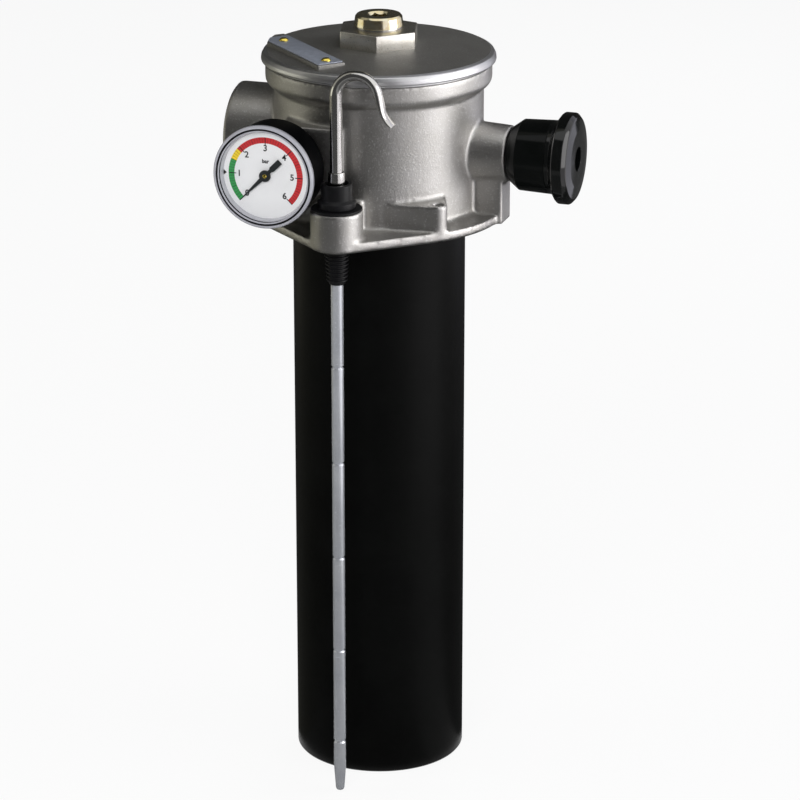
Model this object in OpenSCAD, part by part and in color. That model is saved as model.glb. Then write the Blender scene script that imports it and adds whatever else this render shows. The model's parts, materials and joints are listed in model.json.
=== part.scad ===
// Tank top return filter: a cast head that bolts on top of a hydraulic tank,
// a long bowl that hangs into the tank, a screw-in cover with a fill plug,
// a pressure gauge, a dipstick and a breather.
// The origin is the centre of the face that seats on the tank, +Z points up
// and out of the tank, +X points along the ports towards the breather.

/* [Tank flange] */
// How far the round mounting flange stands out from the body
flange_out = 10.5; // [9:0.5:14]
// Thickness of the mounting flange
flange_t = 3.8; // [3:0.1:6]
// Thickness of the gasket between flange and tank
gasket_t = 0.6; // [0.5:0.1:1.5]
// Distance between the bolt holes along the ports
bolt_dx = 76.5; // [76:0.5:77]
// Distance between the bolt holes across the ports
bolt_dy = 71.5; // [71:0.5:72]
// Radius of a bolt hole
bolt_hole_r = 2.7; // [2.2:0.1:2.9]
// Height of the top faces of the bolt lugs above the tank
lug_top_z = 16.2; // [11:0.2:20]
// Radius of the rounded end of a bolt lug
lug_corner_r = 4.1; // [3.8:0.1:4.2]

/* [Head body] */
// Gap between the bowl's tube and the wall of the head's chamber
chamber_gap = 3.6; // [3.2:0.1:5]
// Wall of the body round the chamber
body_wall = 4.2; // [3.6:0.1:6]
// Height of the head's top face above the tank
head_top_z = 67.8; // [64:0.1:72]
// How far the collar round the cover's thread stands out from the body
collar_out = 3.6; // [3:0.1:5]
// Height of the collar, with its rounded lower edge
collar_h = 9.6; // [9:0.1:12]
// Radius of the fillet between body and flange
foot_fillet = 2.4; // [1:0.1:3]

/* [Ports] */
// Height of the port axes above the tank
port_z = 31.1; // [30:0.1:33]
// Outer radius of the inlet boss
inlet_r = 22; // [20:0.5:23]
// Length of the inlet boss outside the body
inlet_len = 19.2; // [15:0.1:25]
// Radius of the inlet's thread hole
inlet_hole_r = 15.1; // [12:0.1:16]
// Depth of the inlet's thread hole
inlet_depth = 19; // [14:0.5:19]
// Length of the breather boss outside the body
breather_boss_len = 14.8; // [12:0.1:18]
// Half width of the hollow rib below the breather boss
rib_half_w = 6.9; // [6.5:0.1:9]

/* [Cover] */
// How far the cover's rim stands out over the collar
rim_out = 1.9; // [1:0.1:3]
// Thickness of the cover's rim
rim_t = 4.4; // [4:0.1:6]
// Height of the relief that shows as a groove below the rim
rim_relief = 1; // [0.6:0.1:1.6]
// Rise of the cover's top from its rim to the hexagon
cover_rise = 2.4; // [1.5:0.1:4]
// Width across the flats of the cover's hexagon
cover_hex_af = 32.5; // [30:0.5:36]
// Height of the cover's hexagon
cover_hex_h = 7.1; // [5:0.1:9]
// Depth of the cover's threaded spigot below the head's top face
spigot_depth = 9.5; // [7:0.5:10]

/* [Fill plug] */
// Radius of the plug's round collar
plug_r = 10.8; // [10:0.1:12]
// Height of the plug's collar
plug_h = 5; // [4:0.1:7]
// Radius of the plug's thread
plug_thread_r = 8.3; // [7.5:0.1:8.6]
// Width across the flats of the plug's hexagon socket
plug_socket_af = 8; // [6:1:9]

/* [Rating plate] */
// Direction of the plate's outward side, in degrees from +X
plate_turn = 226; // [200:1:250]
// Distance of the plate's middle line from the cover's axis
plate_out = 34.8; // [33:0.1:36]
// Thickness of the rating plate
plate_t = 0.5; // [0.4:0.1:1]

/* [Gauge] */
// How far the block for the gauge stands out from the body
block_out = 2.4; // [2:0.1:4]
// Radius of the gauge's case
case_r = 21; // [18:0.1:22]
// Length of the gauge's case
case_len = 19; // [17:0.5:24]
// Wall of the gauge's case
case_wall = 1.1; // [0.8:0.1:1.4]
// How far the gauge's bezel stands out around its case
bezel_over = 1.5; // [1.3:0.1:2.4]
// Angle that the needle sweeps from zero to full scale
gauge_sweep = 270; // [240:5:280]

/* [Dipstick] */
// Distance of the dipstick from the head's middle, towards the breather
dip_x = 0.9; // [0:0.1:3]
// Outer radius of the dipstick's boss
dip_boss_r = 11.3; // [11:0.1:12]
// Height of the top of the dipstick's boss above the tank
dip_boss_z = 17.2; // [15:0.1:20]
// Radius of the rod below the bung
rod_r = 2.7; // [2.2:0.1:2.9]
// Radius of the rod's handle
handle_r = 3; // [2.9:0.05:3.3]
// Depth of the rod's tip below the tank's top
tip_depth = 253.8; // [200:0.1:300]
// Distance between two level rings of the rod
ring_pitch = 44.1; // [30:0.1:48]
// Depth of the uppermost level ring below the tank's top
ring_top = 53.3; // [40:0.1:60]
// Bend radius of the hook's centre line
hook_r = 8.6; // [8:0.1:10]
// Height of the middle of the hook's bend above the tank
hook_z = 67.6; // [60:0.1:75]
// Angle through which the hook bends back
hook_bend = 163; // [150:1:175]

/* [Breather] */
// Radius of the breather's body
breather_r = 15.5; // [15:0.1:17]
// Length of the breather's body
breather_len = 18.6; // [15:0.1:24]
// Radius of the breather's cap
cap_r = 19.9; // [18.6:0.1:22]

/* [Bowl and element] */
// Outer radius of the bowl's tube
tube_r = 38; // [36:0.5:42]
// Wall of the bowl's tube
tube_wall = 1.6; // [1.2:0.1:2]
// Depth of the bowl's open end below the tank's top
bowl_depth = 254.8; // [205:0.1:300]
// Gap between the filter element and the bowl's tube
element_gap = 5.4; // [4:0.1:8]
// Number of pleats of the filter medium
pleats = 36; // [24:1:44]

/* [Hidden] */
$fn = 96;
slack = 0.3;
snug = 0.05;
eps = 0.5;

chamber_r = tube_r + chamber_gap;
body_r = chamber_r + body_wall;
collar_r = body_r + collar_out;
rim_r = collar_r + rim_out;
flange_r = body_r + flange_out;
flange_z = gasket_t + flange_t;
collar_z = head_top_z - collar_h;
thread_deep = 1.8;
thread_r = chamber_r + thread_deep;
thread_z = head_top_z - spigot_depth - 1;
bowl_bore_r = tube_r + slack;
ledge_z = flange_z + 7.6;
bolt_x = bolt_dx / 2 + body_r - 45.8;
bolt_y = bolt_dy / 2 + body_r - 45.8;
lug_far_turn = 76;
lug_near_turn = 34;
lug_root_r = 2;

inlet_x = body_r + inlet_len;
inlet_web_w = 16;
inlet_web_end = 6;
inlet_web_start = 10;
passage_r = 13;
boss_root_r = 15.6;
boss_face_r = 12.2;
breather_x = body_r + breather_boss_len;
rib_x = breather_x - 2.4;
vent_r = 4.2;
vent_x = chamber_r + vent_r + 5.4;
breather_thread_r = 6.6;
breather_thread_len = 9;

bung_flange_r = 8.3;
dip_gap = 0.4;
dip_y = rim_r + bung_flange_r + slack;
gauge_x = case_r + bung_flange_r - dip_x + dip_gap;
gauge_washer_t = 1;
gauge_port_r = 4.4;
gauge_port_depth = 12;
gauge_duct_r = 1.6;
block_y = body_r + block_out;
block_half_w = 17.2;
block_left = gauge_x + block_half_w;
block_right = 1.4;
block_low_z = flange_z + 4;
block_half_h = 17.4;
block_top_z = port_z + block_half_h;
block_slope = 15;

seal_wire_r = 1.2;
spigot_r = thread_r - slack;
seal_r = spigot_r + snug + seal_wire_r;
seal_seat_r = seal_r + seal_wire_r + slack;
rim_z = head_top_z + rim_relief;
rim_top_z = rim_z + rim_t;
hex_z = rim_top_z + cover_rise;
hex_top_z = hex_z + cover_hex_h;
hex_turn = 44.6;
cover_flat_r = rim_r - 2.6;
relief_r = rim_r - 2.6;
spigot_wall = 4;
cover_inside_z = head_top_z + 2;
plug_boss_r = 14;
plug_boss_z = head_top_z - 5;
plug_hole_r = plug_thread_r + slack;

washer_t = 0.8;
plug_z = hex_top_z + washer_t;
plug_thread_len = 12;
plug_socket_depth = 6;

pad_top_z = hex_z - 0.3;
pad_half_w = 6.7;
pad_right = 23.2;
pad_left = 36;
plate_half_w = 5.9;
plate_left = 30.5;
plate_right = 22.4;
rivet_r = 2.1;
rivet_h = 1.2;
rivet_shank_r = 1.1;
rivet_shank_len = 3;
rivet_left = 22.6;
rivet_right = 18;

dial_out = case_len - 1.4;
dial_t = 0.8;
dial_r = case_r - case_wall - 0.1;
needle_out = dial_out + 0.7;
needle_t = 0.5;
needle_len = 14.4;
needle_tail = 9.6;
hub_r = 2.5;
arbor_r = 0.9;
lens_t = 1.1;
lens_out = case_len + gauge_washer_t + snug;
bezel_r = case_r + bezel_over;
bezel_open_r = case_r - 1;
lens_r = bezel_open_r + 0.4;
bezel_front = case_len + gauge_washer_t + 1.7;
bezel_skirt = 1.2;
stem_block_w = 10;
stem_neck_r = 5;
bourdon_r = case_r - case_wall - 5.4;
bourdon_w = 6;
bourdon_t = 1.8;
bourdon_out = 5.2;
frame_t = 1;
frame_low = gauge_washer_t + bourdon_out + bourdon_w + snug + 0.3;
frame_high = dial_out - dial_t - frame_t - 0.6;
frame_half_w = 5;
pillar_r = 1.1;

dip_bore_r = 5.9;
bung_rib_r = dip_bore_r - slack;
bung_stem_r = bung_rib_r - 0.9;
bung_low_z = -15.8;
bung_rib_pitch = 1.9;
dip_washer_t = 0.9;
dip_washer_r = dip_boss_r - 0.3;
bung_z = dip_boss_z + dip_washer_t;
bung_head_r = 6.7;
bung_top_z = bung_z + 10.8;
bung_cup_r = 5.2;
bung_cup_z = bung_top_z - 2.2;
ferrule_r = 3.7;
ferrule_h = 7;
level_rings = 5;
ring_depth = 0.45;
hook_leg = 7.5;
hook_flare_r = 13;
hook_flare_turn = 38;
boss_web_w = 13.6;

breather_bevel = 4.4;
ring_of_media = 3.4;
cap_len = 11.2;
breather_flare = 0.5;
media_low = breather_bevel + 1.6;
cap_wall = 2;
cap_socket_r = 5.2;

bowl_seal_t = 1;
bowl_collar_r = chamber_r - slack;
bowl_collar_t = 2.5;
outlet_r = 14.2;
outlet_z = -bowl_depth + 5;
outlet_t = 3;
socket_len = 12;

element_r = tube_r - tube_wall - element_gap;
element_low_z = outlet_z + outlet_t + socket_len + 4;
element_high_z = ledge_z + 2;
end_cap_t = 4;
pleat_depth = 10.4;
core_wall = 1.2;
spigot_foot_r = outlet_r - 1.6;
media_out_r = element_r - 1.6;
media_in_r = media_out_r - pleat_depth;
core_r = media_in_r - 1;
media_t = 0.7;
valve_hole_r = 9;
poppet_r = valve_hole_r + 2;
poppet_t = 2.5;
stem_r = 2;
cage_depth = 26;
cage_r = poppet_r + 4;
handle_wire_r = 1.2;
handle_arch_r = cage_r + 1.5;
hold_spring_r = handle_arch_r + 7.5;
hold_wire_r = 1.4;
bypass_spring_r = 6.5;
bypass_wire_r = 0.7;

cast_grey = [0.62, 0.61, 0.58];
bare_metal = [0.78, 0.78, 0.78];
brass_gold = [0.80, 0.62, 0.25];
black_plastic = [0.04, 0.04, 0.04];

// Point on a circle in a plane of constant height
function on_circle(r, turn) = [r * cos(turn), r * sin(turn)];

// Ring of a swept solid: centre, two half axes and number of corners
function sweep_ring(centre, across, along, corners) = [
    for (i = [0 : corners - 1])
        centre + cos(360 * i / corners) * across + sin(360 * i / corners) * along
];

// Closed solid through a list of rings with equal numbers of corners
module skin(rings) {
    n = len(rings[0]);
    last = len(rings) - 1;
    points = [for (ring = rings) each ring];
    sides = [
        for (k = [0 : last - 1], i = [0 : n - 1])
            each [
                [k * n + i, (k + 1) * n + i, (k + 1) * n + (i + 1) % n],
                [k * n + i, (k + 1) * n + (i + 1) % n, k * n + (i + 1) % n]
            ]
    ];
    low = [for (i = [0 : n - 1]) i];
    high = [for (i = [n - 1 : -1 : 0]) last * n + i];
    polyhedron(points = points, faces = concat([low], sides, [high]), convexity = 6);
}

// Coil spring that stands on z = 0
module coil(mean_r, wire_r, height, turns, steps = 20) {
    rise = height - 2 * wire_r;
    count = turns * steps;
    skin([
        for (k = [0 : count])
            let (
                turn = 360 * k / steps,
                flat = min(1, max(0, (k / count * turns - 0.75) / (turns - 1.5)))
            )
            sweep_ring(
                [mean_r * cos(turn), mean_r * sin(turn), wire_r + rise * flat],
                [0, 0, wire_r],
                [wire_r * cos(turn), wire_r * sin(turn), 0],
                8
            )
    ]);
}

// Places its children on the gauge's axis, with +Z pointing out of the block
module on_gauge_axis(out = 0) {
    translate([-gauge_x, -block_y - out, port_z])
        rotate([90, 0, 0])
            children();
}

// Places its children on the breather's axis, with +Z pointing out of the boss
module on_breather_axis(out = 0) {
    translate([breather_x + out, 0, port_z])
        rotate([0, 90, 0])
            children();
}

// Plate frame: X runs along the plate, Y points out from the cover's axis
module on_plate(height) {
    rotate(plate_turn - 90)
        translate([0, 0, height])
            children();
}

// Outline of the flange with the lobe below the dipstick's boss
module flange_outline(inset = 0) {
    hull() {
        circle(r = flange_r - inset);
        translate([dip_x, -dip_y])
            circle(r = dip_boss_r - slack - inset);
    }
}

module bolt_lug() {
    hull() {
        translate([bolt_x, -bolt_y])
            circle(r = lug_corner_r);
        for (turn = [-lug_far_turn, -lug_near_turn])
            translate(on_circle(body_r - lug_root_r - 1, turn))
                circle(r = lug_root_r);
    }
}

// Repeats its children in the four quarters of the flange
module in_quarters() {
    for (mx = [0, 1], my = [0, 1])
        mirror([mx, 0, 0])
            mirror([0, my, 0])
                children();
}

module tank_gasket() {
    color("dimgray")
        difference() {
            linear_extrude(gasket_t)
                flange_outline(1.5);
            translate([0, 0, -eps]) {
                cylinder(r = bowl_bore_r + 0.7, h = gasket_t + 2 * eps);
                translate([vent_x, 0, 0])
                    cylinder(r = vent_r, h = gasket_t + 2 * eps);
                translate([dip_x, -dip_y, 0])
                    cylinder(r = dip_bore_r, h = gasket_t + 2 * eps);
                in_quarters()
                    translate([bolt_x, -bolt_y])
                        cylinder(r = bolt_hole_r, h = gasket_t + 2 * eps);
            }
        }
}

// Half section of the body, its collar and the fillet at its foot
module body_section() {
    round_r = collar_r - body_r;
    square([body_r, head_top_z]);
    translate([0, collar_z + round_r])
        square([collar_r, collar_h - round_r]);
    intersection() {
        translate([body_r, collar_z + round_r])
            circle(r = round_r);
        translate([body_r - eps, collar_z])
            square([round_r + eps, round_r + eps]);
    }
    difference() {
        translate([body_r - eps, flange_z - eps])
            square([foot_fillet + eps, foot_fillet + eps]);
        translate([body_r + foot_fillet, flange_z + foot_fillet])
            circle(r = foot_fillet);
    }
}

// Front face of the block that carries the gauge
module block_face() {
    polygon([
        [-block_left, block_low_z],
        [-gauge_x + dip_gap + 5, block_low_z],
        [dip_x - dip_boss_r, bung_z + 1],
        [-block_right, bung_z + 1],
        [-block_right, block_top_z],
        [-gauge_x, block_top_z],
        [-block_left, block_top_z - block_slope]
    ]);
}

module head_solid() {
    translate([0, 0, gasket_t])
        linear_extrude(flange_t)
            flange_outline();
    intersection() {
        rotate_extrude()
            body_section();
        translate([0, 0, gasket_t])
            cylinder(r = rim_r + 10, h = head_top_z);
    }
    translate([0, 0, port_z]) {
        rotate([0, -90, 0])
            cylinder(r = inlet_r, h = inlet_x);
        rotate([0, 90, 0])
            cylinder(r1 = boss_root_r, r2 = boss_face_r, h = breather_x);
    }
    translate([-inlet_x + inlet_web_end, -inlet_web_w / 2, gasket_t])
        cube([inlet_x - inlet_web_end - inlet_web_start, inlet_web_w, port_z - inlet_r + 3]);
    translate([chamber_r, -rib_half_w, gasket_t])
        cube([rib_x - chamber_r, 2 * rib_half_w, port_z - gasket_t]);
    translate([0, -inlet_hole_r, 0])
        rotate([90, 0, 0])
            linear_extrude(block_y - inlet_hole_r)
                block_face();
    translate([dip_x, -dip_y, gasket_t]) {
        cylinder(r = dip_boss_r, h = dip_boss_z - gasket_t);
        translate([-boss_web_w / 2, 0, 0])
            cube([boss_web_w, dip_y - chamber_r, dip_boss_z - gasket_t]);
    }
    in_quarters()
        translate([0, 0, gasket_t])
            linear_extrude(lug_top_z - gasket_t)
                bolt_lug();
}

module head_bores() {
    translate([0, 0, -eps])
        cylinder(r = bowl_bore_r, h = ledge_z + 2 * eps);
    translate([0, 0, ledge_z])
        cylinder(r = chamber_r, h = head_top_z);
    translate([0, 0, thread_z])
        cylinder(r = thread_r, h = head_top_z);
    translate([0, 0, head_top_z - 2 * seal_wire_r - slack - snug])
        cylinder(r = seal_seat_r, h = 4);
    translate([-inlet_x, 0, port_z])
        rotate([0, 90, 0]) {
            translate([0, 0, -eps])
                cylinder(r = inlet_hole_r, h = inlet_depth + eps);
            cylinder(r = passage_r, h = inlet_x - chamber_r + 3);
        }
    on_breather_axis(-breather_thread_len - 1)
        cylinder(r = breather_thread_r + snug, h = breather_thread_len + 2);
    translate([vent_x, 0, -eps])
        cylinder(r = vent_r, h = port_z);
    on_gauge_axis(-gauge_port_depth)
        cylinder(r = gauge_port_r, h = gauge_port_depth + eps);
    on_gauge_axis(-gauge_port_depth - 8)
        cylinder(r = gauge_duct_r, h = 10);
    translate([dip_x, -dip_y, -eps])
        cylinder(r = dip_bore_r, h = dip_boss_z + 2 * eps);
    in_quarters()
        translate([bolt_x, -bolt_y])
            translate([0, 0, -eps])
                cylinder(r = bolt_hole_r, h = lug_top_z + 2 * eps);
}

module head_casting() {
    color(cast_grey)
        difference() {
            head_solid();
            head_bores();
        }
}

module cover_seal() {
    color("#202020")
        translate([0, 0, head_top_z - seal_wire_r - snug])
            rotate_extrude()
                translate([seal_r, 0])
                    circle(r = seal_wire_r, $fn = 32);
}

// Half section of the cover: rim, coned top, spigot and plug boss
module cover_section() {
    nose = rim_t / 2;
    translate([rim_r - nose, rim_z + nose])
        circle(r = nose, $fn = 48);
    polygon([
        [0, plug_boss_z],
        [plug_boss_r, plug_boss_z],
        [plug_boss_r + 1, cover_inside_z],
        [spigot_r - spigot_wall, cover_inside_z],
        [spigot_r - spigot_wall, head_top_z - spigot_depth],
        [spigot_r - 0.8, head_top_z - spigot_depth],
        [spigot_r, head_top_z - spigot_depth + 0.8],
        [spigot_r, head_top_z],
        [relief_r, head_top_z],
        [relief_r, rim_z],
        [rim_r - nose, rim_z],
        [rim_r - nose, rim_top_z],
        [cover_flat_r, rim_top_z],
        [cover_hex_af / 2, hex_z],
        [0, hex_z]
    ]);
}

module cover_hexagon() {
    corner_r = cover_hex_af / 2 / cos(30);
    intersection() {
        translate([0, 0, hex_z - 1.5])
            rotate(hex_turn)
                cylinder(r = corner_r, h = cover_hex_h + 1.5, $fn = 6);
        translate([0, 0, hex_z - 2])
            cylinder(r1 = corner_r + 4, r2 = corner_r - 0.9, h = cover_hex_h + 2);
    }
}

module plate_pad() {
    intersection() {
        on_plate(rim_z + nose_clear())
            translate([-pad_right, plate_out - pad_half_w, 0])
                cube([pad_right + pad_left, 2 * pad_half_w, pad_top_z - rim_z - nose_clear()]);
        cylinder(r = cover_flat_r, h = hex_top_z);
    }
}

// Height inside the rim at which the pad's foot is buried
function nose_clear() = rim_t / 2;

// Places its children at the two rivets of the plate
module at_rivets(height) {
    on_plate(height)
        for (x = [-rivet_right, rivet_left])
            translate([x, plate_out, 0])
                children();
}

module cover() {
    color(cast_grey)
        difference() {
            union() {
                rotate_extrude()
                    cover_section();
                cover_hexagon();
                plate_pad();
            }
            translate([0, 0, plug_boss_z - eps])
                cylinder(r = plug_hole_r, h = hex_top_z);
            at_rivets(pad_top_z - rivet_shank_len)
                cylinder(r = rivet_shank_r + snug, h = rivet_shank_len + 1);
        }
}

module rating_plate() {
    color("silver")
        difference() {
            intersection() {
                on_plate(pad_top_z)
                    translate([-plate_right, plate_out - plate_half_w, 0])
                        cube([plate_right + plate_left, 2 * plate_half_w, plate_t]);
                cylinder(r = cover_flat_r - 0.4, h = hex_top_z);
            }
            at_rivets(pad_top_z - eps)
                cylinder(r = rivet_shank_r + snug, h = plate_t + 2 * eps);
        }
}

module plate_rivets() {
    dome_r = (rivet_r * rivet_r + rivet_h * rivet_h) / (2 * rivet_h);
    color(brass_gold)
        at_rivets(pad_top_z + plate_t) {
            rotate_extrude()
                intersection() {
                    translate([0, rivet_h - dome_r])
                        circle(r = dome_r);
                    square([rivet_r, rivet_h]);
                }
            translate([0, 0, -rivet_shank_len - plate_t + 0.4])
                cylinder(r = rivet_shank_r, h = rivet_shank_len + plate_t);
        }
}

module fill_plug_washer() {
    color("silver")
        translate([0, 0, hex_top_z])
            difference() {
                cylinder(r = plug_r - 0.5, h = washer_t);
                translate([0, 0, -eps])
                    cylinder(r = plug_thread_r + slack, h = washer_t + 2 * eps);
            }
}

module fill_plug() {
    chamfer = 0.7;
    color(brass_gold)
        difference() {
            rotate_extrude()
                polygon([
                    [0, plug_z - plug_thread_len],
                    [plug_thread_r - 1, plug_z - plug_thread_len],
                    [plug_thread_r, plug_z - plug_thread_len + 1],
                    [plug_thread_r, plug_z],
                    [plug_r, plug_z],
                    [plug_r, plug_z + plug_h - chamfer],
                    [plug_r - chamfer, plug_z + plug_h],
                    [0, plug_z + plug_h]
                ]);
            translate([0, 0, plug_z + plug_h - plug_socket_depth])
                cylinder(r = plug_socket_af / 2 / cos(30), h = plug_socket_depth + 1, $fn = 6);
        }
}

module gauge_washer() {
    color("peru")
        on_gauge_axis()
            difference() {
                cylinder(r = 7, h = gauge_washer_t);
                translate([0, 0, -eps])
                    cylinder(r = gauge_port_r + 0.2, h = gauge_washer_t + 2 * eps);
            }
}

// Threaded stem with the block inside the case that holds the pressure tube
module gauge_stem() {
    color(brass_gold)
        on_gauge_axis()
            difference() {
                union() {
                    translate([0, 0, -gauge_port_depth + 2])
                        cylinder(r = gauge_port_r - snug, h = gauge_port_depth - 2 + gauge_washer_t);
                    translate([0, 0, gauge_washer_t])
                        cylinder(r = stem_neck_r, h = case_wall + snug);
                    translate([-stem_block_w / 2, -bourdon_r - bourdon_t - 1, gauge_washer_t + case_wall + snug])
                        cube([stem_block_w, bourdon_r + stem_block_w, bourdon_out + bourdon_w - case_wall]);
                }
                translate([0, 0, -gauge_port_depth])
                    cylinder(r = gauge_duct_r - 0.4, h = gauge_port_depth + bourdon_out);
            }
}

module gauge_case() {
    color(black_plastic)
        on_gauge_axis(gauge_washer_t)
            difference() {
                rotate_extrude()
                    polygon([
                        [0, 0],
                        [case_r - 1.5, 0],
                        [case_r, 1.5],
                        [case_r, case_len],
                        [case_r - case_wall, case_len],
                        [case_r - case_wall, case_wall],
                        [0, case_wall]
                    ]);
                translate([0, 0, -eps])
                    cylinder(r = stem_neck_r + snug, h = case_wall + 2 * eps);
            }
}

// Pressure tube, a flattened tube bent into a C whose lower end is in the stem
module gauge_bourdon_tube() {
    color("goldenrod")
        on_gauge_axis(bourdon_out + gauge_washer_t)
            rotate(-90 + 22)
                rotate_extrude(angle = 235)
                    translate([bourdon_r - bourdon_t / 2, 0])
                        square([bourdon_t, bourdon_w]);
}

// Two plates on pillars that carry the needle's arbor
module gauge_movement() {
    color("goldenrod")
        on_gauge_axis()
            difference() {
                union() {
                    for (out = [frame_low, frame_high])
                        translate([-frame_half_w, -frame_half_w - 2, out])
                            cube([2 * frame_half_w, 2 * frame_half_w + 2, frame_t]);
                    for (x = [-1, 1])
                        translate([x * (frame_half_w - 1.6), -frame_half_w, frame_low])
                            cylinder(r = pillar_r, h = frame_high - frame_low + frame_t);
                }
                translate([0, 0, frame_low - eps])
                    cylinder(r = arbor_r + snug, h = frame_high - frame_low + frame_t + 2 * eps);
            }
}

module gauge_dial() {
    color("white")
        on_gauge_axis(dial_out - dial_t)
            difference() {
                cylinder(r = dial_r, h = dial_t);
                translate([0, 0, -eps])
                    cylinder(r = arbor_r + slack, h = dial_t + 2 * eps);
            }
}

// Needle at rest on zero, with its hub and the arbor it is pressed on
module gauge_needle() {
    color("black")
        on_gauge_axis()
            rotate(-90 - (360 - gauge_sweep) / 2) {
                translate([0, 0, needle_out])
                    linear_extrude(needle_t)
                        polygon([
                            [-needle_tail, 1.3], [-hub_r - 2, 1.3], [-hub_r - 1.2, 0.8], [2, 0.95], [needle_len, 0.2],
                            [needle_len, -0.2], [2, -0.95], [-hub_r - 1.2, -0.8], [-hub_r - 2, -1.3], [-needle_tail, -1.3]
                        ]);
                translate([0, 0, needle_out - 0.2])
                    cylinder(r = hub_r, h = needle_t + 0.4);
                translate([0, 0, frame_low + 0.2])
                    cylinder(r = arbor_r, h = needle_out - frame_low);
            }
}

module gauge_lens() {
    color("lightcyan", 0.3)
        on_gauge_axis(lens_out)
            cylinder(r = lens_r, h = lens_t);
}

module gauge_bezel() {
    case_front = case_len + gauge_washer_t;
    color("gainsboro")
        on_gauge_axis()
            rotate_extrude()
                polygon([
                    [case_r + snug, case_front - bezel_skirt],
                    [bezel_r - 0.4, case_front - bezel_skirt],
                    [bezel_r, case_front - bezel_skirt + 0.4],
                    [bezel_r, bezel_front - 1.1],
                    [bezel_r - 0.4, bezel_front - 0.4],
                    [bezel_r - 1.1, bezel_front],
                    [bezel_open_r + 0.4, bezel_front],
                    [bezel_open_r, bezel_front - 0.4],
                    [bezel_open_r, lens_out + lens_t],
                    [lens_r + snug, lens_out + lens_t],
                    [lens_r + snug, case_front],
                    [case_r + snug, case_front]
                ]);
}

// Washer below the bung, it stays on the boss
module dipstick_washer() {
    color(black_plastic)
        translate([dip_x, -dip_y, dip_boss_z])
            difference() {
                cylinder(r = dip_washer_r, h = dip_washer_t);
                translate([0, 0, -eps])
                    cylinder(r = dip_bore_r, h = dip_washer_t + 2 * eps);
            }
}

// Place and heading on the hook's centre line, at three stretches: bend, leg and flare
function hook_bent(turn) = [hook_r * (1 - cos(turn)), hook_r * sin(turn), 90 - turn];

function hook_straight(way) =
    let (p = hook_bent(hook_bend))
    [p.x + way * cos(p.z), p.y + way * sin(p.z), p.z];

function hook_flared(turn) =
    let (p = hook_straight(hook_leg))
    [
        p.x + hook_flare_r * (sin(p.z + turn) - sin(p.z)),
        p.y + hook_flare_r * (cos(p.z) - cos(p.z + turn)),
        p.z + turn
    ];

// Hook from the straight handle to its flattened end
module hook(straight) {
    path = concat(
        [for (k = [0 : 12]) hook_bent(hook_bend * k / 12)],
        [for (k = [1 : 3]) hook_straight(hook_leg * k / 3)],
        [for (k = [1 : 5]) hook_flared(hook_flare_turn * k / 5)]
    );
    last = len(path) - 1;
    skin(concat(
        [sweep_ring([0, 0, -straight], [handle_r, 0, 0], [0, handle_r, 0], 32)],
        [
            for (k = [0 : last])
                let (
                    p = path[k],
                    slim = min(1, k / 8),
                    flat = max(0, (k - 12) / (last - 12)),
                    thin = handle_r * (1 - 0.26 * slim - 0.46 * flat),
                    wide = handle_r * (1 - 0.06 * slim + 0.36 * flat)
                )
                sweep_ring([p.x, 0, p.y], [sin(p.z) * thin, 0, -cos(p.z) * thin], [0, wide, 0], 32)
        ]
    ));
}

module dipstick_rod() {
    step_z = bung_cup_z;
    tip_taper = 11.6;
    tip_r = rod_r - 0.8;
    color(bare_metal)
        translate([dip_x, -dip_y, 0])
            difference() {
                union() {
                    translate([0, 0, hook_z])
                        hook(hook_z - step_z + 1);
                    rotate_extrude()
                        polygon([
                            [0, -tip_depth],
                            [tip_r - 0.6, -tip_depth],
                            [tip_r, -tip_depth + 0.6],
                            [rod_r, -tip_depth + tip_taper],
                            [rod_r, step_z + 1],
                            [0, step_z + 1]
                        ]);
                }
                for (k = [0 : level_rings - 1])
                    translate([0, 0, -ring_top - k * ring_pitch])
                        rotate_extrude()
                            translate([rod_r, 0])
                                polygon([[-ring_depth, 0], [0.6, 1.05], [0.6, -1.05]]);
            }
}

module dipstick_ferrule() {
    color(bare_metal)
        translate([dip_x, -dip_y, bung_cup_z])
            rotate_extrude()
                polygon([
                    [handle_r + snug, 0],
                    [ferrule_r, 0],
                    [ferrule_r, ferrule_h - 0.5],
                    [ferrule_r - 0.4, ferrule_h],
                    [handle_r + snug, ferrule_h]
                ]);
}

// Rubber plug with ribs that grip the boss's bore
module dipstick_bung() {
    ribs = floor((gasket_t - bung_low_z - 2.4) / bung_rib_pitch) + 2;
    color(black_plastic)
        translate([dip_x, -dip_y, 0])
            difference() {
                union() {
                    rotate_extrude()
                        polygon([
                            [0, bung_low_z],
                            [bung_stem_r - 1.2, bung_low_z],
                            [bung_stem_r, bung_low_z + 2],
                            [bung_stem_r, bung_z],
                            [bung_flange_r - 0.3, bung_z],
                            [bung_flange_r, bung_z + 0.4],
                            [bung_flange_r, bung_z + 2.6],
                            [bung_flange_r - 0.4, bung_z + 3.1],
                            [bung_head_r + 0.5, bung_z + 3.7],
                            [bung_head_r, bung_z + 4.4],
                            [bung_head_r, bung_top_z - 1.2],
                            [bung_head_r - 0.3, bung_top_z - 0.4],
                            [bung_head_r - 0.8, bung_top_z],
                            [bung_cup_r, bung_top_z],
                            [bung_cup_r, bung_cup_z],
                            [0, bung_cup_z]
                        ]);
                    rotate_extrude()
                        for (k = [0 : ribs - 1])
                            translate([0, bung_low_z + 2.4 + k * bung_rib_pitch])
                                polygon([
                                    [bung_stem_r - 0.3, -0.2], [bung_rib_r, 0.35],
                                    [bung_rib_r, 0.75], [bung_stem_r - 0.3, 1.3]
                                ]);
                }
                translate([0, 0, bung_low_z - eps])
                    cylinder(r = rod_r + snug, h = bung_cup_z - bung_low_z - 1 + eps);
                translate([0, 0, bung_cup_z - 1 - snug])
                    cylinder(r = handle_r + snug, h = 2);
            }
}

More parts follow.
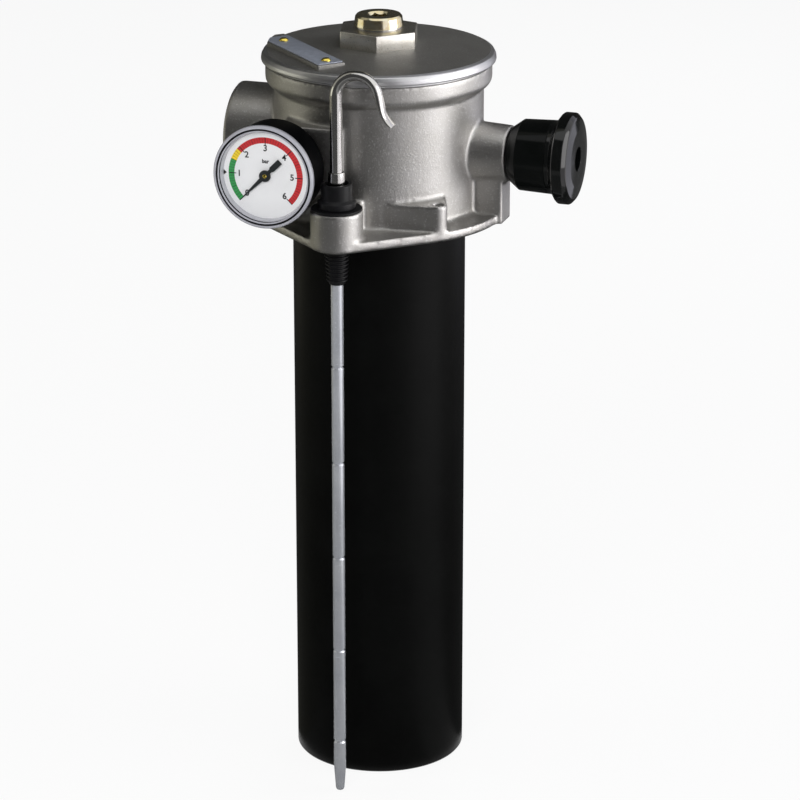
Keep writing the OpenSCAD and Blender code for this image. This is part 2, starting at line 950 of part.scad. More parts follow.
module breather_washer() {
    color("#202020")
        on_breather_axis()
            difference() {
                cylinder(r = boss_face_r - 1.2, h = 0.8);
                translate([0, 0, -eps])
                    cylinder(r = breather_thread_r + 0.3, h = 0.8 + 2 * eps);
            }
}

// Hollow body with a threaded spout that screws into the boss
module breather_body() {
    low = 0.8;
    color(black_plastic)
        on_breather_axis()
            rotate_extrude()
                polygon([
                    [4, -breather_thread_len],
                    [breather_thread_r, -breather_thread_len],
                    [breather_thread_r, low],
                    [boss_face_r, low],
                    [breather_r, low + breather_bevel],
                    [breather_r + breather_flare, breather_len],
                    [breather_r - 1.8, breather_len],
                    [breather_r - 1.8, low + breather_bevel + 0.5],
                    [boss_face_r - 1.4, low + 2],
                    [4, low + 2]
                ]);
}

module breather_media() {
    color("khaki")
        on_breather_axis(media_low)
            difference() {
                cylinder(r = breather_r - 1.8 - slack, h = breather_len + cap_len - cap_wall - media_low - 3.2);
                translate([0, 0, -eps])
                    cylinder(r = breather_r - 1.8 - slack - ring_of_media, h = 40);
            }
}

// Cap with a rounded brim and a socket in its face
module breather_cap() {
    brim = 2.2;
    color(black_plastic)
        on_breather_axis(breather_len)
            difference() {
                union() {
                    rotate_extrude()
                        polygon([
                            [breather_r - 1.8, 0],
                            [breather_r + breather_flare - 0.3, 0],
                            [breather_r + breather_flare, 0.3],
                            [breather_r + breather_flare, 2],
                            [breather_r + breather_flare + 0.7, 2.5],
                            [cap_r - 0.9, 4.6],
                            [cap_r, 5.6],
                            [cap_r, cap_len - 1.4 - brim],
                            [cap_r - brim, cap_len - 1.4],
                            [cap_r - brim - 1.2, cap_len - 0.7],
                            [cap_socket_r + 4, cap_len],
                            [0, cap_len],
                            [0, cap_len - cap_wall - 3],
                            [cap_socket_r + 2, cap_len - cap_wall - 3],
                            [cap_socket_r + 2, cap_len - cap_wall - 0.6],
                            [breather_r - 1.8, cap_len - cap_wall - 1.2]
                        ]);
                    rotate_extrude()
                        translate([cap_r - brim, cap_len - 1.4 - brim])
                            intersection() {
                                circle(r = brim, $fn = 48);
                                square(brim);
                            }
                }
                translate([0, 0, cap_len - 3])
                    cylinder(r = cap_socket_r, h = 4);
                translate([0, 0, cap_len - 4.6])
                    cylinder(r = 3.4 / cos(30), h = 4, $fn = 6);
            }
}

module bowl_seal() {
    color("#202020")
        translate([0, 0, ledge_z])
            difference() {
                cylinder(r = bowl_collar_r, h = bowl_seal_t);
                translate([0, 0, -eps])
                    cylinder(r = bowl_bore_r + 0.2, h = bowl_seal_t + 2 * eps);
            }
}

// Long tube that hangs by its collar from the head's ledge
module bowl_tube() {
    inner_r = tube_r - tube_wall;
    collar_low = ledge_z + bowl_seal_t;
    color([0.05, 0.05, 0.05])
        rotate_extrude()
            polygon([
                [inner_r, -bowl_depth],
                [tube_r - 0.5, -bowl_depth],
                [tube_r, -bowl_depth + 0.5],
                [tube_r, collar_low],
                [bowl_collar_r, collar_low],
                [bowl_collar_r, collar_low + bowl_collar_t],
                [inner_r + 0.5, collar_low + bowl_collar_t],
                [inner_r, collar_low + bowl_collar_t - 0.5]
            ]);
}

// Plate in the tube's end with the socket that the element plugs into
module bowl_outlet() {
    color("dimgray")
        translate([0, 0, outlet_z])
            rotate_extrude()
                polygon([
                    [outlet_r, 0],
                    [tube_r - tube_wall - snug, 0],
                    [tube_r - tube_wall - snug, outlet_t + 4],
                    [tube_r - tube_wall - 2, outlet_t + 4],
                    [tube_r - tube_wall - 2, outlet_t],
                    [outlet_r + 2, outlet_t],
                    [outlet_r + 2, outlet_t + socket_len],
                    [outlet_r, outlet_t + socket_len]
                ]);
}

module element_bottom_cap() {
    foot_z = outlet_z + outlet_t + 2;
    color("gray")
        difference() {
            rotate_extrude()
                polygon([
                    [spigot_foot_r - 2, foot_z],
                    [spigot_foot_r, foot_z],
                    [spigot_foot_r, foot_z + 3],
                    [spigot_foot_r - 1, foot_z + 3],
                    [spigot_foot_r - 1, foot_z + 5.6],
                    [spigot_foot_r, foot_z + 5.6],
                    [spigot_foot_r, element_low_z],
                    [element_r, element_low_z],
                    [element_r, element_low_z + end_cap_t + 2],
                    [element_r - 1, element_low_z + end_cap_t + 2],
                    [element_r - 1, element_low_z + end_cap_t],
                    [spigot_foot_r - 2, element_low_z + end_cap_t]
                ]);
        }
}

module element_seal() {
    foot_z = outlet_z + outlet_t + 2;
    color("#202020")
        translate([0, 0, foot_z + 4.3])
            rotate_extrude()
                translate([spigot_foot_r + 0.2, 0])
                    circle(r = 1.1, $fn = 32);
}

// Perforated tube that carries the pleats
module element_core() {
    low = element_low_z + end_cap_t;
    high = element_high_z;
    rows = 9;
    step = (high - low) / rows;
    color("silver")
        difference() {
            translate([0, 0, low])
                cylinder(r = core_r, h = high - low);
            translate([0, 0, low - eps])
                cylinder(r = core_r - core_wall, h = high - low + 2 * eps);
            for (row = [0 : rows - 1], k = [0 : 2])
                translate([0, 0, low + step * (row + 0.5)])
                    rotate(60 * k + 30 * (row % 2))
                        cube([2 * core_r + 2, 4, step - 8], center = true);
        }
}

module element_media() {
    low = element_low_z + end_cap_t;
    outer = [
        for (k = [0 : pleats - 1])
            each [
                on_circle(media_in_r + media_t, 360 * k / pleats),
                on_circle(media_out_r, 360 * (k + 0.5) / pleats)
            ]
    ];
    inner = [
        for (k = [0 : pleats - 1])
            each [
                on_circle(media_in_r, 360 * k / pleats),
                on_circle(media_out_r - 2 * media_t, 360 * (k + 0.5) / pleats)
            ]
    ];
    color("beige")
        translate([0, 0, low])
            linear_extrude(element_high_z - low)
                difference() {
                    polygon(outer);
                    polygon(inner);
                }
}

module element_top_cap() {
    color("gray")
        translate([0, 0, element_high_z])
            rotate_extrude()
                polygon([
                    [valve_hole_r, 0],
                    [element_r - 1, 0],
                    [element_r - 1, -2],
                    [element_r, -2],
                    [element_r, end_cap_t],
                    [valve_hole_r, end_cap_t]
                ]);
}

// Wire handle that the element is lifted out by
module element_handle() {
    foot_z = element_high_z + end_cap_t;
    leg = 3;
    color("silver") {
        translate([0, 0, foot_z + leg])
            rotate([90, 0, 0])
                rotate_extrude(angle = 180)
                    translate([handle_arch_r, 0])
                        circle(r = handle_wire_r, $fn = 24);
        for (side = [-1, 1])
            translate([side * handle_arch_r, 0, foot_z])
                cylinder(r = handle_wire_r, h = leg, $fn = 24);
    }
}

// Guide below the valve hole that holds the spring and the poppet's stem
module bypass_cage() {
    low = element_high_z - cage_depth;
    color("silver")
        difference() {
            union() {
                translate([0, 0, low])
                    cylinder(r = cage_r, h = 2);
                for (k = [0 : 2])
                    rotate(120 * k)
                        translate([cage_r - 1.5, 0, low])
                            cylinder(r = 1.2, h = cage_depth);
            }
            translate([0, 0, low - eps])
                cylinder(r = stem_r + snug, h = 2 + 2 * eps);
        }
}

module bypass_poppet() {
    low = element_high_z - cage_depth;
    color("silver")
        rotate_extrude()
            polygon([
                [0, low - 3],
                [stem_r, low - 3],
                [stem_r, element_high_z - poppet_t],
                [poppet_r, element_high_z - poppet_t],
                [poppet_r, element_high_z],
                [valve_hole_r - 1, element_high_z],
                [valve_hole_r - 2, element_high_z + 1.5],
                [0, element_high_z + 1.5]
            ]);
}

module bypass_spring() {
    low = element_high_z - cage_depth + 2;
    color("silver")
        translate([0, 0, low])
            coil(bypass_spring_r, bypass_wire_r, element_high_z - poppet_t - low, 6, 16);
}

module hold_down_spring() {
    low = element_high_z + end_cap_t + slack;
    color("silver")
        translate([0, 0, low])
            coil(hold_spring_r, hold_wire_r, cover_inside_z - slack - low, 5);
}

tank_gasket();
head_casting();
cover_seal();
cover();
rating_plate();
plate_rivets();
fill_plug();
fill_plug_washer();
gauge_stem();
gauge_washer();
gauge_case();
gauge_bourdon_tube();
gauge_movement();
gauge_dial();
gauge_needle();
gauge_lens();
gauge_bezel();
dipstick_washer();
dipstick_rod();
dipstick_ferrule();
dipstick_bung();
breather_washer();
breather_body();
breather_media();
breather_cap();
bowl_seal();
bowl_tube();
bowl_outlet();
element_bottom_cap();
element_seal();
element_core();
element_media();
element_top_cap();
element_handle();
bypass_cage();
bypass_poppet();
bypass_spring();
hold_down_spring();
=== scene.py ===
"""Looks of a tank top return filter: shaped pieces, materials, dial print, camera and studio.

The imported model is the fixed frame. Every length below is in millimetres in the model's own
frame and becomes metres when a mesh is written.
"""

from __future__ import annotations

import json
import logging
import math
from dataclasses import dataclass
from enum import Enum
from typing import Sequence

import bmesh
import bpy
from mathutils import Matrix, Vector

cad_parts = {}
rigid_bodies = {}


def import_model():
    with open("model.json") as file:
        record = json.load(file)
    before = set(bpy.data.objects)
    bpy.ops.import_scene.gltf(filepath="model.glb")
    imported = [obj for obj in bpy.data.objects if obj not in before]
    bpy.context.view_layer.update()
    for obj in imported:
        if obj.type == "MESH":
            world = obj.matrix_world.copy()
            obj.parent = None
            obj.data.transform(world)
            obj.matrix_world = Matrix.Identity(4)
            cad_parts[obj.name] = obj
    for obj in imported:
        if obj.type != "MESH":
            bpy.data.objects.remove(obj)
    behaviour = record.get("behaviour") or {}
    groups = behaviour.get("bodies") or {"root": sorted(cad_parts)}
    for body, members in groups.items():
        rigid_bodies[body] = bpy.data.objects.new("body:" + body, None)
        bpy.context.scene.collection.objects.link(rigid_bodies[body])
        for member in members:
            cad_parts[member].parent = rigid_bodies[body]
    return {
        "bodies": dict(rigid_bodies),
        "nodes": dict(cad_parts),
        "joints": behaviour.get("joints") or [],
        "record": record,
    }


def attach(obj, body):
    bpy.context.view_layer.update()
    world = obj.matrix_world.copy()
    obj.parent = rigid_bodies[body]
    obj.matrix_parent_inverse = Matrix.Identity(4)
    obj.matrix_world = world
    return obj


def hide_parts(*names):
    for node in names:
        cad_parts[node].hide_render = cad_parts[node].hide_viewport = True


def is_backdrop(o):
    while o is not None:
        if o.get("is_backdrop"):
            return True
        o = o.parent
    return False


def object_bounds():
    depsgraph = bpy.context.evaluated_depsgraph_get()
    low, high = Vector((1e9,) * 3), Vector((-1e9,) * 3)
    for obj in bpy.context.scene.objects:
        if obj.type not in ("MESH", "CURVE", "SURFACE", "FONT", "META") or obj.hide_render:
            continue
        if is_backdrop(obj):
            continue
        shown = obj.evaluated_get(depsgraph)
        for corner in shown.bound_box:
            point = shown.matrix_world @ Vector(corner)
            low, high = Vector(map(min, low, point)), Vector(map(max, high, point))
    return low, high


log = logging.getLogger("filter_scene")

MM = 0.001
Colour = tuple[float, float, float]
Point2 = tuple[float, float]
Corner = tuple[float, float, float]
Mesh = bmesh.types.BMesh


class Body(str, Enum):
    """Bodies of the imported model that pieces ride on."""

    HEAD = "head"
    COVER = "cover"
    PLUG_WASHER = "plug_washer"
    PLUG = "plug"
    BUNG = "bung"
    DIPSTICK = "dipstick"
    NEEDLE = "needle"


@dataclass(frozen=True)
class Finish:
    """Constants of one surface finish.

    Attributes:
        name: name of the material.
        colour: linear base colour.
        second: colour that the variation mask mixes in.
        metallic: metal share.
        roughness: mean roughness.
        spread: how far the roughness wanders from its mean.
        grain: size of one grain in millimetres.
        bump: height of the grain in millimetres.
        patch: size of a colour patch in millimetres.
        amount: share of the second colour in a full patch.
        fleck: share of bright grains.
        specular: specular level.
    """

    name: str
    colour: Colour
    second: Colour
    metallic: float = 0.0
    roughness: float = 0.5
    spread: float = 0.04
    grain: float = 0.3
    bump: float = 0.002
    patch: float = 9.0
    amount: float = 0.5
    fleck: float = 0.0
    specular: float = 0.5


CAST = Finish("cast_aluminium", (0.55, 0.54, 0.525), (0.46, 0.45, 0.425), metallic=1.0, roughness=0.42,
              spread=0.09, grain=0.8, bump=0.10, patch=14.0, amount=0.6, fleck=0.6)
# Darker copy of the cast aluminium: paints the shade on the cover's upward faces.
CAST_COVER_SHADE = Finish("cast_cover_painted_shade", (0.34, 0.335, 0.32), (0.28, 0.275, 0.26), metallic=1.0, roughness=0.56,
                    spread=0.08, grain=0.7, bump=0.07, patch=18.0, amount=0.6, fleck=0.3)
# Lighter copy of the cast aluminium for the cover's bead: paints the highlight on its rounded edge.
RIM_HIGHLIGHT = Finish("rim_painted_highlight", (0.74, 0.74, 0.76), (0.61, 0.615, 0.62), metallic=1.0, roughness=0.36,
             spread=0.08, grain=0.6, bump=0.04, patch=12.0, amount=0.6, fleck=0.3)
HEXAGON = Finish("milled_hexagon", (0.72, 0.70, 0.65), (0.60, 0.57, 0.50), metallic=1.0, roughness=0.32,
                 spread=0.08, grain=0.5, bump=0.03, patch=6.0, amount=0.6, fleck=0.3)
MACHINED = Finish("machined_aluminium", (0.62, 0.62, 0.61), (0.54, 0.54, 0.53), metallic=0.9,
                  roughness=0.28, spread=0.07, grain=0.25, bump=0.006, amount=0.4)
PLATE = Finish("plate_aluminium", (0.36, 0.39, 0.46), (0.26, 0.28, 0.34), metallic=0.35, roughness=0.34,
               spread=0.08, grain=0.25, bump=0.006, patch=3.0, amount=0.6)
YELLOW_ZINC = Finish("yellow_zinc", (0.82, 0.77, 0.58), (0.76, 0.62, 0.34), metallic=1.0, roughness=0.16,
                     spread=0.05, grain=0.4, bump=0.003, patch=3.5, amount=0.8)
RIVET_BRASS = Finish("rivet_brass", (0.95, 0.76, 0.16), (0.80, 0.60, 0.10), metallic=1.0, roughness=0.12,
                     spread=0.05, bump=0.003, patch=2.0)
STEEL = Finish("bright_steel", (0.70, 0.69, 0.67), (0.56, 0.55, 0.54), metallic=1.0, roughness=0.15,
               spread=0.05, bump=0.003, amount=0.4)
ROD = Finish("drawn_rod", (0.72, 0.74, 0.78), (0.56, 0.58, 0.64), metallic=0.72, roughness=0.22,
             spread=0.06, grain=0.4, bump=0.004, patch=12.0, amount=0.6)
BRASS = Finish("machined_brass", (0.72, 0.53, 0.22), (0.58, 0.42, 0.18), metallic=1.0, roughness=0.3,
               spread=0.05, bump=0.004, patch=5.0, amount=0.4)
GALVANISED = Finish("galvanised_steel", (0.52, 0.54, 0.56), (0.40, 0.42, 0.45), metallic=0.9,
                    roughness=0.4, spread=0.08, grain=0.5, bump=0.004, patch=7.0, amount=0.7)
BLACK_GLOSS = Finish("black_gloss_plastic", (0.0025, 0.003, 0.0028), (0.0045, 0.005, 0.0048),
                     roughness=0.13, spread=0.03, grain=0.5, bump=0.003, patch=12.0, amount=0.6,
                     specular=0.15)
CAP_GLOSS = Finish("black_gloss_cap", (0.0025, 0.003, 0.0028), (0.0045, 0.005, 0.0048), roughness=0.09,
                   spread=0.02, grain=0.5, patch=12.0, amount=0.6)
CASE_BLACK = Finish("case_black", (0.0012, 0.0013, 0.0018), (0.0022, 0.0022, 0.003), roughness=0.34,
                    spread=0.05, grain=0.5, bump=0.004, amount=0.6, specular=0.02)
BLACK_RUBBER = Finish("black_rubber", (0.004, 0.004, 0.0045), (0.009, 0.009, 0.010), roughness=0.36,
                      spread=0.08, grain=0.35, bump=0.012, patch=6.0, amount=0.7, specular=0.22)
BLACK_PAINT = Finish("black_paint", (0.0016, 0.0017, 0.0016), (0.0030, 0.0032, 0.0030), roughness=0.36,
                     grain=0.9, bump=0.006, patch=34.0, amount=0.6, specular=0.1)
FIBRE = Finish("gasket_fibre", (0.03, 0.03, 0.028), (0.05, 0.05, 0.046), roughness=0.75, spread=0.08,
               bump=0.02, patch=4.0, amount=0.7)
MEDIUM = Finish("filter_medium", (0.74, 0.70, 0.58), (0.60, 0.55, 0.44), roughness=0.85, spread=0.06,
                bump=0.03, patch=7.0, amount=0.6)
DIAL = Finish("dial_white", (0.77, 0.77, 0.78), (0.72, 0.72, 0.73))
INK_BLACK = Finish("ink_black", (0.012, 0.012, 0.013), (0.02, 0.02, 0.02), bump=0.001, patch=5.0)
INK_GREEN = Finish("ink_green", (0.035, 0.28, 0.075), (0.05, 0.32, 0.09), bump=0.001, patch=3.0)
INK_YELLOW = Finish("ink_yellow", (0.85, 0.60, 0.03), (0.78, 0.56, 0.04), bump=0.001, patch=3.0)
INK_RED = Finish("ink_red", (0.56, 0.025, 0.030), (0.46, 0.022, 0.026), bump=0.001, patch=3.0, amount=0.6)
NEEDLE_PAINT = Finish("needle_paint", (0.018, 0.021, 0.022), (0.026, 0.029, 0.03), roughness=0.38,
                      patch=4.0)
BEZEL = Finish("bezel_plastic", (0.40, 0.40, 0.44), (0.33, 0.33, 0.37), roughness=0.16, grain=0.4,
               patch=8.0)
SPACER = Finish("spacer_plastic", (0.52, 0.52, 0.56), (0.44, 0.44, 0.48), roughness=0.25, grain=0.4,
                patch=8.0)


def grey(level: float) -> Colour:
    """Gives a neutral colour."""
    return (level, level, level)


def towards(azimuth: float, elevation: float) -> Vector:
    """Gives the direction from the object to a place around it.

    Args:
        azimuth: direction in degrees from the front, towards the right.
        elevation: height angle in degrees.

    Returns:
        The direction, one unit long.
    """
    az, el = math.radians(azimuth), math.radians(elevation)
    return Vector((math.sin(az) * math.cos(el), -math.cos(az) * math.cos(el), math.sin(el)))


def sideways(x: float, z: float) -> Matrix:
    """Gives the frame of a piece that is turned about a line along X."""
    return Matrix.Translation((x, 0.0, z)) @ Matrix.Rotation(math.radians(90), 4, "Y")


def add_object(name: str, bm: Mesh) -> bpy.types.Object:
    """Writes a mesh as an object of the scene.

    Args:
        name: name of object and mesh.
        bm: the mesh, which is freed.

    Returns:
        The object.
    """
    mesh = bpy.data.meshes.new(name)
    bm.to_mesh(mesh)
    bm.free()
    obj = bpy.data.objects.new(name, mesh)
    bpy.context.scene.collection.objects.link(obj)
    return obj


def evaluated(obj: bpy.types.Object) -> bpy.types.Mesh:
    """Gives a new mesh of an object with its modifiers applied."""
    bpy.context.view_layer.update()
    return bpy.data.meshes.new_from_object(obj.evaluated_get(bpy.context.evaluated_depsgraph_get()))


class Graph:
    """The nodes of one material, world or group, with short calls to add and join them."""

    def __init__(self, tree: bpy.types.NodeTree) -> None:
        """Keeps the tree."""
        self.tree = tree

    def __getitem__(self, name: str) -> bpy.types.Node:
        """Gives a node by its name."""
        return self.tree.nodes[name]

    def add(self, kind: str, values: dict | None = None, **settings: object) -> bpy.types.Node:
        """Adds a node.

        Args:
            kind: type of the node.
            values: default values of its inputs.
            settings: settings of the node, made before the values.

        Returns:
            The node.
        """
        node = self.tree.nodes.new(kind)
        for key, value in settings.items():
            setattr(node, key, value)
        for key, value in (values or {}).items():
            node.inputs[key].default_value = value
        return node

    def wire(self, *wires: tuple[bpy.types.Node, str, bpy.types.Node, str | int]) -> None:
        """Joins outputs to inputs.

        Args:
            wires: rows of node and output, node and input.
        """
        for source, output, target, into in wires:
            self.tree.links.new(source.outputs[output], target.inputs[into])

    def shown(self) -> bpy.types.Node:
        """Adds the mask that is 1 where camera, glass or gloss look straight at a surface.

        Returns:
            The last node of the mask.
        """
        path = self.add("ShaderNodeLightPath")
        seen = self.add("ShaderNodeMath", operation="MAXIMUM")
        mask = self.add("ShaderNodeMath", operation="MAXIMUM")
        self.wire((path, "Is Camera Ray", seen, 0), (path, "Is Transmission Ray", seen, 1),
                  (seen, "Value", mask, 0), (path, "Is Glossy Ray", mask, 1))
        return mask


def new_material(name: str) -> tuple[bpy.types.Material, Graph]:
    """Adds a material.

    Args:
        name: its name.

    Returns:
        The material and its nodes.
    """
    mat = bpy.data.materials.new(name)
    mat.use_nodes = True
    return mat, Graph(mat.node_tree)


class GroupKit:
    """Shared node groups that give masks and normals from object coordinates."""

    def __init__(self) -> None:
        """Builds the groups once."""
        self.patches = self._patches()
        self.grain = self._grain()

    @staticmethod
    def _group(name: str, inputs: dict[str, float], outputs: dict[str, str]) -> Graph:
        """Starts a group with its sockets.

        Args:
            name: name of the group.
            inputs: name and default value of each input.
            outputs: name and kind of each output.

        Returns:
            The nodes of the group.
        """
        tree = bpy.data.node_groups.new(name, "ShaderNodeTree")
        for label, value in inputs.items():
            socket = tree.interface.new_socket(name=label, in_out="INPUT", socket_type="NodeSocketFloat")
            socket.default_value = value
        for label, kind in outputs.items():
            tree.interface.new_socket(name=label, in_out="OUTPUT", socket_type=kind)
        return Graph(tree)

    def _patches(self) -> bpy.types.NodeTree:
        """Makes the group that gives a slow colour mask.

        Returns:
            The group.
        """
        graph = self._group("patch_mask", {"Size": 100.0}, {"Mask": "NodeSocketFloat"})
        inp, out = graph.add("NodeGroupInput"), graph.add("NodeGroupOutput")
        coord = graph.add("ShaderNodeTexCoord")
        noise = graph.add("ShaderNodeTexNoise", {"Detail": 5.0, "Roughness": 0.6})
        ramp = graph.add("ShaderNodeMapRange", {"From Min": 0.38, "From Max": 0.62})
        graph.wire((coord, "Object", noise, "Vector"), (inp, "Size", noise, "Scale"),
                   (noise, "Fac", ramp, "Value"), (ramp, "Result", out, "Mask"))
        return graph.tree

    def _grain(self) -> bpy.types.NodeTree:
        """Makes the group that gives a fine grain as mask, bright flecks and normal.

        Returns:
            The group.
        """
        graph = self._group("surface_grain", {"Size": 1000.0, "Height": 0.00001},
                            {"Mask": "NodeSocketFloat", "Fleck": "NodeSocketFloat",
                             "Normal": "NodeSocketVector"})
        inp, out = graph.add("NodeGroupInput"), graph.add("NodeGroupOutput")
        coord = graph.add("ShaderNodeTexCoord")
        fine = graph.add("ShaderNodeTexNoise", {"Detail": 3.0, "Roughness": 0.65})
        bump = graph.add("ShaderNodeBump", {"Strength": 1.0})
        fleck = graph.add("ShaderNodeMapRange", {"From Min": 0.56, "From Max": 0.68})
        graph.wire((coord, "Object", fine, "Vector"), (inp, "Size", fine, "Scale"),
                   (fine, "Fac", out, "Mask"), (fine, "Fac", bump, "Height"),
                   (inp, "Height", bump, "Distance"),
                   (bump, "Normal", out, "Normal"), (fine, "Fac", fleck, "Value"),
                   (fleck, "Result", out, "Fleck"))
        return graph.tree


class Paintbox:
    """Makes and keeps the materials.

    Attributes:
        FLECK: colour of the bright grains.
    """

    FLECK = (0.85, 0.85, 0.84, 1.0)

    def __init__(self) -> None:
        """Starts with the shared groups and no material."""
        self.kit = GroupKit()
        self.made: dict[str, bpy.types.Material] = {}

    def get(self, finish: Finish) -> bpy.types.Material:
        """Gives the material of a finish, made at its first use.

        Args:
            finish: the constants of the finish.

        Returns:
            The material.
        """
        if finish.name in self.made:
            return self.made[finish.name]
        mat, graph = new_material(finish.name)
        shader = graph["Principled BSDF"]
        shader.inputs["Metallic"].default_value = finish.metallic
        shader.inputs["Specular IOR Level"].default_value = finish.specular
        patch = graph.add("ShaderNodeGroup", {"Size": 1.0 / (finish.patch * MM)}, node_tree=self.kit.patches)
        grain = graph.add("ShaderNodeGroup", {"Size": 1.0 / (finish.grain * MM), "Height": finish.bump * MM},
                          node_tree=self.kit.grain)
        amount = graph.add("ShaderNodeMath", {1: finish.amount}, operation="MULTIPLY")
        mix = graph.add("ShaderNodeMix", {"A": (*finish.colour, 1.0), "B": (*finish.second, 1.0)},
                        data_type="RGBA")
        share = graph.add("ShaderNodeMath", {1: finish.fleck}, operation="MULTIPLY")
        flecked = graph.add("ShaderNodeMix", {"B": self.FLECK}, data_type="RGBA")
        rough = graph.add("ShaderNodeMapRange", {"From Min": 0.3, "From Max": 0.7,
                                                 "To Min": finish.roughness - finish.spread,
                                                 "To Max": finish.roughness + finish.spread})
        graph.wire((patch, "Mask", amount, 0), (amount, "Value", mix, "Factor"),
                   (mix, "Result", flecked, "A"), (grain, "Fleck", share, 0),
                   (share, "Value", flecked, "Factor"),
                   (flecked, "Result", shader, "Base Color"), (grain, "Mask", rough, "Value"),
                   (rough, "Result", shader, "Roughness"), (grain, "Normal", shader, "Normal"))
        self.made[finish.name] = mat
        return mat

    @staticmethod
    def clear() -> bpy.types.Material:
        """Makes the clear material of the gauge's lens, which mirrors on its front faces alone.

        Returns:
            The material.
        """
        mat, graph = new_material("clear_lens")
        graph.tree.nodes.remove(graph["Principled BSDF"])
        through = graph.add("ShaderNodeBsdfTransparent")
        gloss = graph.add("ShaderNodeBsdfGlossy", {"Roughness": 0.05})
        fresnel = graph.add("ShaderNodeFresnel", {"IOR": 1.3})
        geometry = graph.add("ShaderNodeNewGeometry")
        front = graph.add("ShaderNodeMath", {0: 1.0}, operation="SUBTRACT")
        share = graph.add("ShaderNodeMath", operation="MULTIPLY")
        mix = graph.add("ShaderNodeMixShader")
        graph.wire((geometry, "Backfacing", front, 1), (fresnel, "Fac", share, 0), (front, "Value", share, 1),
                   (share, "Value", mix, "Fac"), (through, "BSDF", mix, 1), (gloss, "BSDF", mix, 2),
                   (mix, "Shader", graph["Material Output"], "Surface"))
        return mat


def rounded(corners: Sequence[Corner], steps: int = 5) -> list[Point2]:
    """Rounds the corners of a closed outline.

    Args:
        corners: place and rounding radius of each corner, in order.
        steps: number of steps of each rounding.

    Returns:
        Points of the rounded outline.
    """
    points: list[Point2] = []
    for i, (x, y, radius) in enumerate(corners):
        here = Vector((x, y))
        if radius <= 0.0:
            points.append((x, y))
            continue
        before = Vector(corners[i - 1][:2]) - here
        after = Vector(corners[(i + 1) % len(corners)][:2]) - here
        run = min(radius / math.tan(before.angle(after) / 2), 0.49 * before.length, 0.49 * after.length)
        start, end = here + before.normalized() * run, here + after.normalized() * run
        for k in range(steps + 1):
            t = k / steps
            points.append(tuple(start * (1 - t) ** 2 + here * 2 * t * (1 - t) + end * t * t))
    return points


def soften(bm: Mesh, width: float, angle: float = 25.0, segments: int = 3) -> None:
    """Rounds every edge that is sharper than an angle.

    Args:
        bm: the mesh.
        width: width of the rounding.
        angle: least angle in degrees between two faces.
        segments: number of strips of the rounding.
    """
    limit = math.radians(angle)
    edges = [e for e in bm.edges if len(e.link_faces) == 2 and e.calc_face_angle(0.0) > limit]
    bmesh.ops.bevel(bm, geom=edges, offset=width, segments=segments, profile=0.5, affect="EDGES",
                    clamp_overlap=True, material=-1)


def lathe(profile: Sequence[Point2], steps: int = 128) -> Mesh:
    """Turns a closed profile about the Z axis.

    Args:
        profile: corners as radius and height, in order.
        steps: number of steps of the full turn.

    Returns:
        The mesh.
    """
    bm = bmesh.new()
    verts = [bm.verts.new((r, 0.0, z)) for r, z in profile]
    edges = [bm.edges.new((verts[i], verts[(i + 1) % len(verts)])) for i in range(len(verts))
             if not (profile[i][0] < 1e-6 and profile[(i + 1) % len(verts)][0] < 1e-6)]
    bmesh.ops.spin(bm, geom=verts + edges, cent=(0, 0, 0), axis=(0, 0, 1), angle=2 * math.pi, steps=steps,
                   use_merge=True)
    bmesh.ops.remove_doubles(bm, verts=bm.verts, dist=1e-5)
    return bm


def prism(outline: Sequence[Point2], low: float, high: float) -> Mesh:
    """Raises a flat outline to a solid.

    Args:
        outline: corners in order.
        low: height of the lower face.
        high: height of the upper face.

    Returns:
        The mesh.
    """
    bm = bmesh.new()
    base = bm.faces.new([bm.verts.new((x, y, low)) for x, y in outline])
    raised = bmesh.ops.extrude_face_region(bm, geom=[base], use_keep_orig=True)
    top = [v for v in raised["geom"] if isinstance(v, bmesh.types.BMVert)]
    bmesh.ops.translate(bm, verts=top, vec=(0, 0, high - low))
    bmesh.ops.recalc_face_normals(bm, faces=bm.faces)
    return bm


def thread(radius: float, depth: float, pitch: float, low: float, turns: int,
           steps: int = 48) -> Mesh:
    """Winds the ridge of a screw thread about the Z axis.

    Args:
        radius: radius of the ridge's foot.
        depth: height of the ridge, below zero for an inner thread.
        pitch: rise of one turn.
        low: height of its start.
        turns: number of turns.
        steps: number of steps of one turn.

    Returns:
        The mesh.
    """
    bm = bmesh.new()
    foot = radius - math.copysign(0.05, depth)
    outline = [(foot, -0.46), (radius + depth, -0.08), (radius + depth, 0.08), (foot, 0.46)]
    verts = [bm.verts.new((r, 0.0, low + z * pitch)) for r, z in outline]
    face = bm.faces.new(verts)
    bmesh.ops.spin(bm, geom=verts + list(face.edges) + [face], cent=(0, 0, 0), axis=(0, 0, 1),
                   dvec=(0, 0, pitch / steps), angle=2 * math.pi * turns, steps=steps * turns)
    return bm


def combine(first: Mesh, second: Mesh, operation: str) -> Mesh:
    """Joins, cuts or intersects two closed meshes.

    Args:
        first: mesh that is kept, and freed.
        second: mesh that acts on it, and is freed.
        operation: name of the boolean operation.

    Returns:
        The new mesh.
    """
    objects = []
    for bm in (first, second):
        bmesh.ops.recalc_face_normals(bm, faces=bm.faces)
        objects.append(add_object("part_of_boolean", bm))
    act = objects[0].modifiers.new("act", "BOOLEAN")
    act.object, act.operation, act.solver = objects[1], operation, "EXACT"
    result = evaluated(objects[0])
    bm = bmesh.new()
    bm.from_mesh(result)
    for obj in objects:
        mesh = obj.data
        bpy.data.objects.remove(obj)
        bpy.data.meshes.remove(mesh)
    bpy.data.meshes.remove(result)
    return bm


